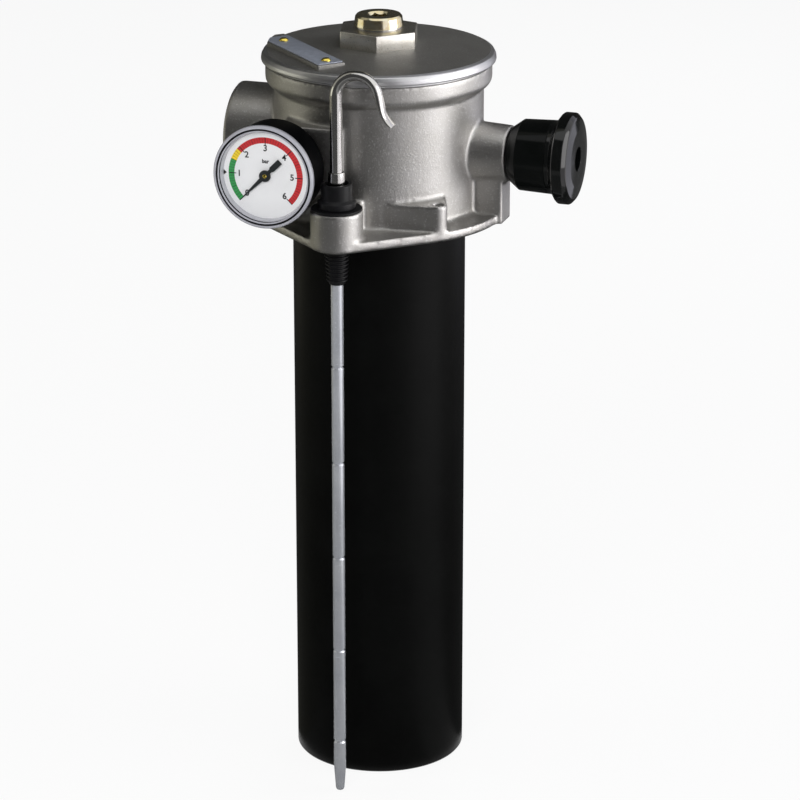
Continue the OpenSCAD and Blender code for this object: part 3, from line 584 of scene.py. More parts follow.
def slab(near: float, far: float, right: float, left: float, radius: float, low: float, high: float,
         frame: Matrix, within: float) -> Mesh:
    """Makes a rounded slab that ends at a circle around the Z axis.

    Args:
        near: near side in the slab's frame.
        far: far side.
        right: right end.
        left: left end.
        radius: rounding of its corners.
        low: height of the lower face.
        high: height of the upper face.
        frame: frame of the slab.
        within: radius of the circle.

    Returns:
        The mesh.
    """
    under, over = 60.0, 90.0
    sides = [(right, near, radius), (left, near, radius), (left, far, radius), (right, far, radius)]
    block = prism(rounded(sides), low, high)
    bmesh.ops.transform(block, matrix=frame, verts=block.verts)
    bound = lathe([(0, under), (within, under), (within, over), (0, over)], 192)
    return combine(block, bound, "INTERSECT")


def hexagon(across: float, low: float, high: float, turn: float = 0.0) -> Mesh:
    """Makes a hexagonal bar.

    Args:
        across: width across the flats.
        low: height of its lower face.
        high: height of its upper face.
        turn: turn in degrees.

    Returns:
        The mesh.
    """
    corner = across / 2 / math.cos(math.radians(30))
    turns = [math.radians(turn + 60 * k) for k in range(6)]
    return prism([(corner * math.cos(t), corner * math.sin(t)) for t in turns], low, high)


class Workshop:
    """Writes meshes as pieces that ride on a body."""

    def __init__(self, paint: Paintbox) -> None:
        """Keeps the paintbox."""
        self.paint = paint

    def piece(self, name: str, bm: Mesh, body: Body, finish: Finish, sharp: float = 35.0,
              place: Matrix | None = None, node: str = "") -> bpy.types.Object:
        """Turns a mesh in millimetres into a piece.

        Args:
            name: name of the piece.
            bm: the mesh, which is freed.
            body: body that it rides on.
            finish: finish of its surface.
            sharp: angle in degrees from which an edge stays sharp.
            place: frame that the mesh was drawn in.
            node: node that the piece stands for, if any.

        Returns:
            The object.
        """
        bmesh.ops.transform(bm, matrix=Matrix.Scale(MM, 4) @ (place or Matrix.Identity(4)), verts=bm.verts)
        bmesh.ops.recalc_face_normals(bm, faces=bm.faces)
        obj = add_object(name, bm)
        obj.data.shade_smooth()
        obj.data.set_sharp_from_angle(angle=math.radians(sharp))
        obj.data.materials.append(self.paint.get(finish))
        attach(obj, body.value)
        if node:
            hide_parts(node)
        log.info("piece %s has %d faces", name, len(obj.data.polygons))
        return obj

    def turned(self, name: str, corners: Sequence[Corner], body: Body, finish: Finish, steps: int = 128,
               place: Matrix | None = None, node: str = "") -> bpy.types.Object:
        """Turns an outline with rounded corners about the Z axis, as a piece.

        Args:
            name: name of the piece.
            corners: radius, height and rounding of each corner, in order.
            body: body that it rides on.
            finish: finish of its surface.
            steps: number of steps of the full turn.
            place: frame that the outline was drawn in.
            node: node that the piece stands for, if any.

        Returns:
            The object.
        """
        return self.piece(name, lathe(rounded(corners), steps), body, finish, place=place, node=node)


@dataclass
class Studio:
    """Camera, backdrop, lamps and the cards that gloss mirrors.

    Attributes:
        azimuth: camera direction in degrees from the front.
        elevation: camera height angle in degrees.
        distance: distance from camera to target in millimetres.
        scale: picture pixels per millimetre at the target.
        aim_z: height of the target.
        picture: width and height of the picture in pixels.
        axis_px: picture column in which the bowl's axis stands.
        sensor: width of the camera's sensor.
        floor_z: height of the floor.
        near: distance from the axis at which the cards start.
        mid: distance at which the cards that the head mirrors start.
        wall: distance of the cards that stand upright.
        low_wall: height up to which the left side is bright.
        high_wall: height of the upright cards.
        roof: inner end of the sloping cards above them, as distance and height.
        front_roof: the same at the front.
        half: half the width of the floor.
        glow: share of the floor's own light where it is looked at.
        sky: colour of the world's light.
        sky_light: strength of the world's light.
    """

    azimuth: float = 18.0
    elevation: float = 19.5
    distance: float = 1600.0
    scale: float = 2.2263
    aim_z: float = -88.8
    picture: float = 800.0
    axis_px: float = 379.5
    sensor: float = 36.0
    floor_z: float = -255.4
    near: float = 41.0
    mid: float = 760.0
    wall: float = 1500.0
    low_wall: float = 150.0
    high_wall: float = 900.0
    roof: Point2 = (150.0, 1300.0)
    front_roof: Point2 = (700.0, 1150.0)
    half: float = 6000.0
    glow: float = 0.9
    sky: Colour = (0.9, 0.95, 1.0)
    sky_light: float = 0.22

    def camera(self) -> None:
        """Adds the camera at the photograph's viewing angle."""
        back = towards(self.azimuth, self.elevation)
        right = Vector((math.cos(math.radians(self.azimuth)), math.sin(math.radians(self.azimuth)), 0.0))
        aside = (self.picture / 2 - self.axis_px) / self.scale
        data = bpy.data.cameras.new("camera")
        data.sensor_width = self.sensor
        data.lens = self.scale * self.distance / self.picture * self.sensor
        data.clip_end = 20.0
        cam = bpy.data.objects.new("camera", data)
        cam.location = (Vector((0.0, 0.0, self.aim_z)) + right * aside + back * self.distance) * MM
        cam.rotation_euler = back.to_track_quat("Z", "Y").to_euler()
        bpy.context.scene.collection.objects.link(cam)
        bpy.context.scene.camera = cam

    @staticmethod
    def lamp(name: str, az: float, el: float, dist: float, size: Point2, power: float,
             tint: Colour = (1.0, 1.0, 1.0), mirrored: bool = False) -> None:
        """Adds one soft box that looks at the object.

        Args:
            name: name of the lamp.
            az: direction in degrees from the front, towards the right.
            el: height angle in degrees.
            dist: distance in millimetres.
            size: width and height in millimetres.
            power: power in watts.
            tint: colour of its light.
            mirrored: whether gloss shows it.
        """
        aim_z = -60.0
        back = towards(az, el)
        data = bpy.data.lights.new(name, "AREA")
        data.shape = "RECTANGLE"
        data.size, data.size_y = size[0] * MM, size[1] * MM
        data.energy = power
        data.color = tint
        obj = bpy.data.objects.new(name, data)
        spot = Matrix.Translation((Vector((0, 0, aim_z)) + back * dist) * MM)
        obj.matrix_world = spot @ back.to_track_quat("Z", "Y").to_matrix().to_4x4()
        obj.visible_glossy = mirrored
        bpy.context.scene.collection.objects.link(obj)

    @staticmethod
    def card(name: str, az_from: float, az_to: float, section: Sequence[Point2], shade: Colour) -> None:
        """Adds a curved studio card that only gloss shows.

        Args:
            name: name of the card.
            az_from: direction in degrees of its first edge, from the front towards the right.
            az_to: direction of its last edge.
            section: corners of its section as distance and height.
            shade: linear colour of the card.
        """
        bm = bmesh.new()
        start = math.radians(az_from - 90.0)
        away = Vector((math.cos(start), math.sin(start), 0.0))
        verts = [bm.verts.new((away * r + Vector((0.0, 0.0, z))) * MM) for r, z in section]
        edges = [bm.edges.new(pair) for pair in zip(verts, verts[1:])]
        bmesh.ops.spin(bm, geom=verts + edges, cent=(0, 0, 0), axis=(0, 0, 1),
                       angle=math.radians(az_to - az_from), steps=16)
        obj = add_object(name, bm)
        mat, graph = new_material(name)
        graph.tree.nodes.remove(graph["Principled BSDF"])
        glow = graph.add("ShaderNodeEmission", {"Color": (*shade, 1.0)})
        graph.wire((glow, "Emission", graph["Material Output"], "Surface"))
        obj.data.materials.append(mat)
        obj.visible_camera = obj.visible_diffuse = obj.visible_shadow = False
        obj.visible_transmission = obj.visible_volume_scatter = False
        obj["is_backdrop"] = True

    def cards(self) -> None:
        """Stands the cards around the object, near ones on the floor and far ones behind them."""
        floor, wall, mid = self.floor_z + 1.0, self.wall, self.mid
        foot, low, high = (wall, floor), (wall, self.low_wall), (wall, self.high_wall)
        bright = (0.95, 0.925, 0.95)
        rows: list[tuple[str, float, float, list[Point2], Colour]] = [
            ("near_front", -60.0, 60.0, [(self.near, floor), (520.0, floor)], grey(0.12)),
            ("mid_front", -60.0, 60.0, [(520.0, floor), (mid, floor)], grey(0.25)),
            ("near_right", 60.0, 105.0, [(self.near, floor), (420.0, floor)], grey(0.30)),
            ("near_back", 105.0, 235.0, [(self.near, floor), (mid, floor)], grey(0.05)),
            ("near_left", 235.0, 300.0, [(self.near, floor), (600.0, floor)], (0.08, 0.08, 0.07)),
            ("front", -60.0, 38.0, [(mid, floor), (905.0, floor)], grey(0.26)),
            ("front_far", -60.0, 38.0, [(905.0, floor), foot], grey(0.06)),
            ("front_wall", -60.0, 38.0, [foot, high, self.front_roof], grey(0.06)),
            ("front_right", 38.0, 60.0, [(mid, floor), foot, high], bright),
            ("right", 60.0, 105.0, [(420.0, floor), foot, high], bright),
            ("right_back", 105.0, 140.0, [(mid, floor), foot, high], bright),
            ("back", 156.0, 235.0, [(mid, floor), foot], grey(0.12)),
            ("back_edge", 140.0, 156.0, [(mid, floor), foot, high, self.roof], (0.72, 0.72, 0.80)),
            ("back_wall", 156.0, 262.0, [foot, high, self.roof], (0.04, 0.04, 0.038)),
            ("back_left", 235.0, 262.0, [(600.0, floor), foot], (0.30, 0.29, 0.22)),
            ("left", 262.0, 300.0, [(600.0, floor), foot], (0.16, 0.155, 0.125)),
            ("left_low", 262.0, 300.0, [foot, low], (0.95, 0.93, 0.78)),
            ("left_high", 262.0, 300.0, [low, high, self.roof], (0.36, 0.35, 0.31)),
        ]
        for name, az_from, az_to, section, shade in rows:
            self.card("card_" + name, az_from, az_to, section, shade)

    def backdrop(self) -> None:
        """Adds the pale floor, which is white wherever it is looked at."""
        bm = bmesh.new()
        bmesh.ops.create_grid(bm, x_segments=1, y_segments=1, size=self.half * MM)
        floor = add_object("floor", bm)
        floor.location = (0, 0, self.floor_z * MM)
        mat, graph = new_material("floor_white")
        diffuse = graph["Principled BSDF"]
        diffuse.inputs["Base Color"].default_value = (*grey(0.9), 1.0)
        diffuse.inputs["Roughness"].default_value = 1.0
        diffuse.inputs["Specular IOR Level"].default_value = 0.0
        glow = graph.add("ShaderNodeEmission", {"Strength": 1.0})
        part = graph.add("ShaderNodeMath", {1: self.glow}, operation="MULTIPLY")
        mix = graph.add("ShaderNodeMixShader")
        graph.wire((graph.shown(), "Value", part, 0), (part, "Value", mix, "Fac"), (diffuse, "BSDF", mix, 1),
                   (glow, "Emission", mix, 2), (mix, "Shader", graph["Material Output"], "Surface"))
        floor.data.materials.append(mat)
        floor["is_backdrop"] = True

    def world(self) -> None:
        """Sets a world that is white to look at and soft grey as light."""
        world = bpy.data.worlds.new("studio")
        bpy.context.scene.world = world
        world.use_nodes = True
        graph = Graph(world.node_tree)
        ground = graph["Background"]
        ground.inputs["Color"].default_value = (*self.sky, 1.0)
        ground.inputs["Strength"].default_value = self.sky_light
        white = graph.add("ShaderNodeBackground", {"Color": (1, 1, 1, 1), "Strength": 1.0})
        mix = graph.add("ShaderNodeMixShader")
        graph.wire((graph.shown(), "Value", mix, "Fac"), (ground, "Background", mix, 1),
                   (white, "Background", mix, 2), (mix, "Shader", graph["World Output"], "Surface"))

    def build(self) -> None:
        """Builds camera, backdrop, world, lamps and cards."""
        self.camera()
        self.backdrop()
        self.world()
        self.lamp("key_right", 92.0, 12.0, 1300.0, (1000.0, 1000.0), 9.0, (1.0, 0.99, 0.985), mirrored=True)
        self.lamp("fill_left", -70.0, 12.0, 1200.0, (500.0, 900.0), 3.0, (1.0, 0.95, 0.84))
        self.lamp("front", 10.0, 28.0, 1500.0, (900.0, 700.0), 14.0)
        self.lamp("back", 180.0, 30.0, 1500.0, (900.0, 700.0), 6.0)
        self.cards()


@dataclass
class CastHead:
    """The cast head, taken from its solid and given rounded cast edges.

    Attributes:
        voxel: size of the grid that rounds the edges.
        rounds: number of smoothing rounds.
        port_x: place of the inlet's face along the ports.
        port_z: height of the inlet's axis.
    """

    voxel: float = 0.88
    rounds: int = 2
    port_x: float = -65.0
    port_z: float = 31.1

    def build(self, shop: Workshop, frame: dict) -> None:
        """Makes the piece that stands for the casting.

        Args:
            shop: the maker of pieces.
            frame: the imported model.
        """
        bm = bmesh.new()
        bm.from_mesh(frame["nodes"]["head_casting"].data)
        bmesh.ops.transform(bm, matrix=Matrix.Scale(1.0 / MM, 4), verts=bm.verts)
        bmesh.ops.remove_doubles(bm, verts=bm.verts, dist=1e-3)
        obj = shop.piece("cast_head", bm, Body.HEAD, CAST, sharp=60.0)
        remesh = obj.modifiers.new("grid", "REMESH")
        remesh.mode = "VOXEL"
        remesh.voxel_size = self.voxel * MM
        remesh.use_smooth_shade = True
        smooth = obj.modifiers.new("round", "SMOOTH")
        smooth.factor = 0.5
        smooth.iterations = self.rounds
        mesh = evaluated(obj)
        obj.modifiers.clear()
        obj.data = mesh
        if not mesh.materials:
            mesh.materials.append(shop.paint.get(CAST))
        log.info("cast head has %d faces", len(mesh.polygons))
        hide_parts("head_casting")
        self._port(shop)

    def _port(self, shop: Workshop) -> None:
        """Makes the machined ring and the thread of the inlet.

        Args:
            shop: the maker of pieces.
        """
        place = sideways(self.port_x, self.port_z)
        shop.turned("inlet_face", [(15.2, -0.06, 0), (21.1, -0.06, 0.2), (21.1, 0.4, 0), (15.2, 0.4, 0)],
                    Body.HEAD, MACHINED, place=place)
        ridge = thread(15.25, depth=-0.9, pitch=2.31, low=1.4, turns=7)
        shop.piece("inlet_thread", ridge, Body.HEAD, MACHINED, place=place)


@dataclass
class Cover:
    """The screwed cover with its hexagon, its pad and its thread.

    Attributes:
        rim: outer radius of the rim.
        low: height of the rim's underside.
        thick: thickness of the rim.
        rise: rise of the top towards the hexagon.
        seat: height of the head's top face.
        screw: radius of the screwed skirt.
        skirt: inner radius of the skirt.
        foot: height of the skirt's lower end.
        hub: height of the hub's lower end.
        bore: radius of the plug's hole.
        across: width across the flats of the hexagon.
        tall: height of the hexagon.
        turn: turn of the hexagon in degrees.
        pad_turn: direction of the pad's outward side.
        pad: near and far side and right and left end of the pad.
        pad_top: height of the pad's top.
    """

    rim: float = 51.3
    low: float = 68.8
    thick: float = 4.4
    rise: float = 2.4
    seat: float = 67.8
    screw: float = 42.3
    skirt: float = 39.1
    foot: float = 58.3
    hub: float = 62.8
    bore: float = 8.6
    across: float = 32.5
    tall: float = 7.1
    turn: float = 44.6
    pad_turn: float = 226.0
    pad: tuple[float, float, float, float] = (28.1, 41.5, -23.2, 36.0)
    pad_top: float = 75.3

    @property
    def top(self) -> float:
        """Gives the height of the rim's top."""
        return self.low + self.thick

    @property
    def hex_z(self) -> float:
        """Gives the height of the hexagon's foot."""
        return self.top + self.rise

    def plate_frame(self) -> Matrix:
        """Gives the frame of pad and plate."""
        return Matrix.Rotation(math.radians(self.pad_turn - 90.0), 4, "Z")

    def disc(self) -> list[Corner]:
        """Gives the outline of the cover's turned body.

        Returns:
            Its corners.
        """
        return [
            (self.bore, self.hub, 0), (14.0, self.hub, 0.8), (15.0, 69.8, 1.2), (self.skirt, 69.8, 2.0),
            (self.skirt, self.foot, 0.4), (self.screw, self.foot, 0.4), (self.screw, self.seat, 0),
            (48.6, self.seat, 0), (self.rim - 2.6, self.top, 0), (16.3, self.hex_z, 0.3),
            (15.6, self.hex_z + 0.6, 0), (self.bore, self.hex_z + 0.6, 0),
        ]

    def bead(self) -> list[Corner]:
        """Gives the outline of the rounded bead around the cover.

        Returns:
            Its corners.
        """
        rim, top = self.rim, self.top
        return [
            (48.4, self.seat, 0), (48.7, self.seat, 0.1), (48.7, self.low, 0.3), (rim, self.low, 1.1),
            (rim - 0.3, top - 2.2, 1.3), (rim - 1.1, top - 0.75, 1.1), (rim - 2.6, top, 0.12),
            (rim - 3.0, top, 0),
        ]

    def build(self, shop: Workshop) -> None:
        """Makes disc, bead, hexagon, pad and thread.

        Args:
            shop: the maker of pieces.
        """
        # Disc and pad take the darker cast finish, which paints the shade on the cover's top.
        shop.turned("cover_disc", self.disc(), Body.COVER, CAST_COVER_SHADE, 192, node="cover")
        # The bead takes the lighter cast finish, which paints its highlight.
        shop.turned("cover_bead", self.bead(), Body.COVER, RIM_HIGHLIGHT, 192)
        low, high, bore = self.hex_z - 3, self.hex_z + self.tall, self.bore
        bar = hexagon(self.across, self.hex_z - 1.0, high, self.turn)
        soften(bar, 0.55, segments=4)
        hole = lathe([(0, low), (bore, low), (bore, high - 0.6), (bore + 0.8, high + 1), (0, high + 1)], 96)
        shop.piece("cover_hexagon", combine(bar, hole, "DIFFERENCE"), Body.COVER, HEXAGON)
        block = slab(*self.pad, 0.9, self.low + 2.2, self.pad_top, self.plate_frame(), self.rim - 2.7)
        soften(block, 0.35, angle=50.0, segments=3)
        shop.piece("cover_pad", block, Body.COVER, CAST_COVER_SHADE)
        ridge = thread(self.screw, depth=0.7, pitch=3.0, low=59.8, turns=2, steps=128)
        shop.piece("cover_thread", ridge, Body.COVER, MACHINED)


@dataclass
class RatingPlate:
    """The blank plate and its two domed rivets.

    Attributes:
        sheet: near and far side and right and left end of the plate in the pad's frame.
        low: height of the pad's top.
        thick: thickness of the plate.
        within: radius on the cover at which the plate ends.
        rivets: places of the rivets along the plate.
        middle: distance of its middle line from the cover's axis.
    """

    sheet: tuple[float, float, float, float] = (28.9, 40.7, -22.4, 30.5)
    low: float = 75.3
    thick: float = 0.5
    within: float = 48.3
    rivets: tuple[float, float] = (-18.0, 22.6)
    middle: float = 34.8

    def build(self, shop: Workshop, frame: Matrix) -> None:
        """Makes plate and rivets.

        Args:
            shop: the maker of pieces.
            frame: frame of the pad.
        """
        top = self.low + self.thick
        sheet = slab(*self.sheet, 0.8, self.low + 0.02, top, frame, self.within)
        soften(sheet, 0.12, angle=50.0, segments=2)
        shop.piece("plate_sheet", sheet, Body.COVER, PLATE, node="rating_plate")
        for side, x in zip(("right", "left"), self.rivets):
            dome = rounded([(0, top - 0.3, 0), (2.1, top - 0.3, 0), (2.1, top + 0.3, 0.3),
                            (1.3, top + 1.1, 0.9), (0, top + 1.25, 0)], 6)
            shop.piece(f"rivet_{side}", lathe(dome, 48), Body.COVER, RIVET_BRASS,
                       place=frame @ Matrix.Translation((x, self.middle, 0.0)),
                       node="plate_rivets" if side == "right" else "")


@dataclass
class FillPlug:
    """The plug with its key socket, and the washer below it.

    Attributes:
        radius: radius of the collar.
        low: height of the washer's underside.
        washer: thickness of the washer.
        tall: height of the collar.
        deep: length of the threaded part.
        across: width across the flats of the socket.
    """

    radius: float = 10.8
    low: float = 82.7
    washer: float = 0.8
    tall: float = 5.0
    deep: float = 12.0
    across: float = 8.0

    def build(self, shop: Workshop) -> None:
        """Makes plug, thread and washer.

        Args:
            shop: the maker of pieces.
        """
        base, wide = self.low + self.washer, self.radius
        top, foot = base + self.tall, base - self.deep
        body = lathe(rounded([
            (0, foot, 0), (7.2, foot, 0.4), (7.4, base - 1.0, 0.2), (8.0, base, 0), (wide, base, 0.3),
            (wide - 0.55, top - 0.9, 0.3), (wide - 1.3, top, 0.25), (0, top, 0),
        ]))
        tool = hexagon(self.across, top - 6.0, top + 1.0, 10.0)
        body = combine(body, tool, "DIFFERENCE")
        lead = lathe([(0, top - 1.4), (3.9, top - 1.4), (5.6, top + 0.6), (0, top + 0.6)], 64)
        shop.piece("plug_body", combine(body, lead, "DIFFERENCE"), Body.PLUG, YELLOW_ZINC, sharp=28.0,
                   node="fill_plug")
        ridge = thread(7.35, depth=0.9, pitch=1.337, low=base - 10.8, turns=7)
        shop.piece("plug_thread", ridge, Body.PLUG, YELLOW_ZINC)
        ring = [(8.7, self.low, 0.2), (wide - 0.5, self.low, 0.3), (wide - 0.5, base, 0.3), (8.7, base, 0.2)]
        shop.turned("plug_seal_ring", ring, Body.PLUG_WASHER, STEEL, node="fill_plug_washer")


@dataclass
class Gauge:
    """The pressure gauge: case, bezel, a black ring that paints the shadow in the bezel's gap, spacer, pin
    and foot washer.

    Attributes:
        centre: middle of its foot on the block's face.
        case: radius of the case.
        length: distance of the case's front from the block's face.
        bezel: radius of the bezel.
        front: distance of the bezel's front from the block's face.
        dial: distance of the dial's face.
    """

    centre: tuple[float, float, float] = (-28.8, -48.2, 31.1)
    case: float = 21.0
    length: float = 20.0
    bezel: float = 22.5
    front: float = 21.7
    dial: float = 17.6

    def frame(self) -> Matrix:
        """Gives the gauge's frame: X to the right, Y up, Z towards the reader."""
        return Matrix.Translation(self.centre) @ Matrix.Rotation(math.radians(90), 4, "X")

    def build(self, shop: Workshop) -> None:
        """Makes the pieces of the gauge.

        Args:
            shop: the maker of pieces.
        """
        place, case, length, front = self.frame(), self.case, self.length, self.front
        shell = [(0, 1.0, 0), (case, 1.0, 2.0), (case, length, 0.2), (case - 1.1, length, 0.2),
                 (case - 1.1, 2.1, 0.5), (0, 2.1, 0)]
        shop.turned("case_shell", shell, Body.HEAD, CASE_BLACK, 128, place, "gauge_case")
        ring = [
            (21.05, length - 1.2, 0), (22.2, length - 1.2, 0.3), (self.bezel, length - 0.6, 0.3),
            (self.bezel, front - 0.9, 0.7), (self.bezel - 0.8, front, 0.5), (21.3, front, 0.35),
            (21.15, front - 0.7, 0.15), (20.5, front - 0.75, 0.15), (20.3, front - 0.1, 0.3),
            (19.9, front - 0.2, 0.25), (19.8, 20.9, 0), (20.45, 20.9, 0), (20.45, length, 0),
            (21.05, length, 0),
        ]
        shop.turned("bezel_ring", ring, Body.HEAD, BEZEL, 160, place, "gauge_bezel")
        # A black ring just below the bezel's front paints the shadow line in the gap between bezel and lens.
        line = [(20.42, front - 1.0, 0), (21.2, front - 1.0, 0), (21.2, front - 0.35, 0.2),
                (20.42, front - 0.35, 0.2)]
        shop.turned("bezel_gap_shadow", line, Body.HEAD, BLACK_RUBBER, 160, place)
        tube = [(18.9, self.dial, 0.1), (19.88, self.dial, 0.1), (19.88, 19.78, 0.1), (19.3, 19.78, 0.2)]
        shop.turned("dial_spacer", tube, Body.HEAD, SPACER, 160, place)
        pin = [(0, 18.6, 0), (0.9, 18.6, 0), (0.9, 19.1, 0.2), (0.5, 19.35, 0.2), (0, 19.4, 0)]
        shop.turned("needle_pin", pin, Body.NEEDLE, RIVET_BRASS, 32, place)
        mark = prism([(-19.3, 1.5), (-17.6, 0.0), (-19.3, -1.5)], self.dial + 0.02, self.dial + 0.06)
        shop.piece("dial_mark", mark, Body.HEAD, INK_BLACK, place=place)
        foot = [(4.6, 0, 0), (7.0, 0, 0.2), (7.0, 1.0, 0.2), (4.6, 1.0, 0)]
        shop.turned("gauge_seal_ring", foot, Body.HEAD, BRASS, 96, place, "gauge_washer")


@dataclass
class DialPrint:
    """Printed scale of the gauge's dial.

    Attributes:
        place: frame of the gauge.
        face: distance of the print from the block's face.
        inner: inner radius of the coloured band.
        outer: outer radius of the coloured band.
        full: value at the end of the scale.
        sweep: angle of the scale in degrees.
        green_to: end of the green band.
        yellow_to: end of the yellow band.
        reach: distance of the numbers from the middle.
        number: height of the numbers.
        unit: height of the unit word.
        unit_y: place of the unit word above the middle.
    """

    place: Matrix
    face: float = 17.66
    inner: float = 14.1
    outer: float = 16.7
    full: float = 6.0
    sweep: float = 270.0
    green_to: float = 1.5
    yellow_to: float = 1.9
    reach: float = 11.9
    number: float = 3.8
    unit: float = 2.4
    unit_y: float = 6.2

    def angle(self, value: float) -> float:
        """Gives the direction of a value on the scale.

        Args:
            value: reading in scale units.

        Returns:
            Angle in radians from the dial's X axis.
        """
        return math.radians(270.0 - (360.0 - self.sweep) / 2 - self.sweep * value / self.full)

    def band(self, low: float, high: float) -> Mesh:
        """Makes one coloured stretch of the band.

        Args:
            low: value at its start.
            high: value at its end.

        Returns:
            The mesh.
        """
        steps = max(2, int((high - low) * 14))
        turns = [self.angle(low + (high - low) * i / steps) for i in range(steps + 1)]
        ring = [(self.outer * math.cos(t), self.outer * math.sin(t)) for t in turns]
        ring += [(self.inner * math.cos(t), self.inner * math.sin(t)) for t in reversed(turns)]
        return prism(ring, self.face - 0.04, self.face)

    def tick(self, value: float, length: float, width: float) -> list[Point2]:
        """Gives the outline of one scale line.

        Args:
            value: reading that it marks.
            length: length towards the centre.
            width: width of the line.

        Returns:
            Corners of the line.
        """
        t = self.angle(value)
        along, across = Vector((math.cos(t), math.sin(t))), Vector((-math.sin(t), math.cos(t)))
        far, near = along * self.outer, along * (self.outer - length)
        half = across * (width / 2)
        return [tuple(p) for p in (far + half, near + half, near - half, far - half)]

    def word(self, shop: Workshop, name: str, text: str, size: float, at: Point2) -> None:
        """Writes one word or number of the scale.

        Args:
            shop: the maker of pieces.
            name: name of the piece.
            text: the letters.
            size: letter height.
            at: place of the middle.
        """
        curve = bpy.data.curves.new(name, "FONT")
        curve.body = text
        curve.align_x, curve.align_y = "CENTER", "CENTER"
        curve.size = size
        curve.extrude = 0.02
        curve.offset = 0.08
        temp = bpy.data.objects.new(name + "_curve", curve)
        bpy.context.scene.collection.objects.link(temp)
        mesh = evaluated(temp)
        bm = bmesh.new()
        bm.from_mesh(mesh)
        bpy.data.objects.remove(temp)
        bpy.data.curves.remove(curve)
        bpy.data.meshes.remove(mesh)
        place = self.place @ Matrix.Translation((at[0], at[1], self.face))
        shop.piece(name, bm, Body.HEAD, INK_BLACK, place=place)

    def build(self, shop: Workshop) -> None:
        """Makes bands, lines and numbers.

        Args:
            shop: the maker of pieces.
        """
        for name, low, high, ink in (("dial_green", 0.0, self.green_to, INK_GREEN),
                                     ("dial_yellow", self.green_to, self.yellow_to, INK_YELLOW),
                                     ("dial_red", self.yellow_to, self.full, INK_RED)):
            shop.piece(name, self.band(low, high), Body.HEAD, ink, place=self.place)
        lines = bmesh.new()
        for k in range(61):
            length, width = (3.4, 0.4) if k % 10 == 0 else ((2.6, 0.2) if k % 5 == 0 else (2.6, 0.12))
            outline = self.tick(k * 0.1, length, width)
            lines.faces.new([lines.verts.new((x, y, self.face + 0.02)) for x, y in outline])
        shop.piece("dial_lines", lines, Body.HEAD, INK_BLACK, place=self.place)
        for n in range(7):
            t = self.angle(float(n))
            spot = (self.reach * math.cos(t), self.reach * math.sin(t))
            self.word(shop, f"dial_number_{n}", str(n), self.number, spot)
        self.word(shop, "dial_unit", "bar", self.unit, (0.0, self.unit_y))


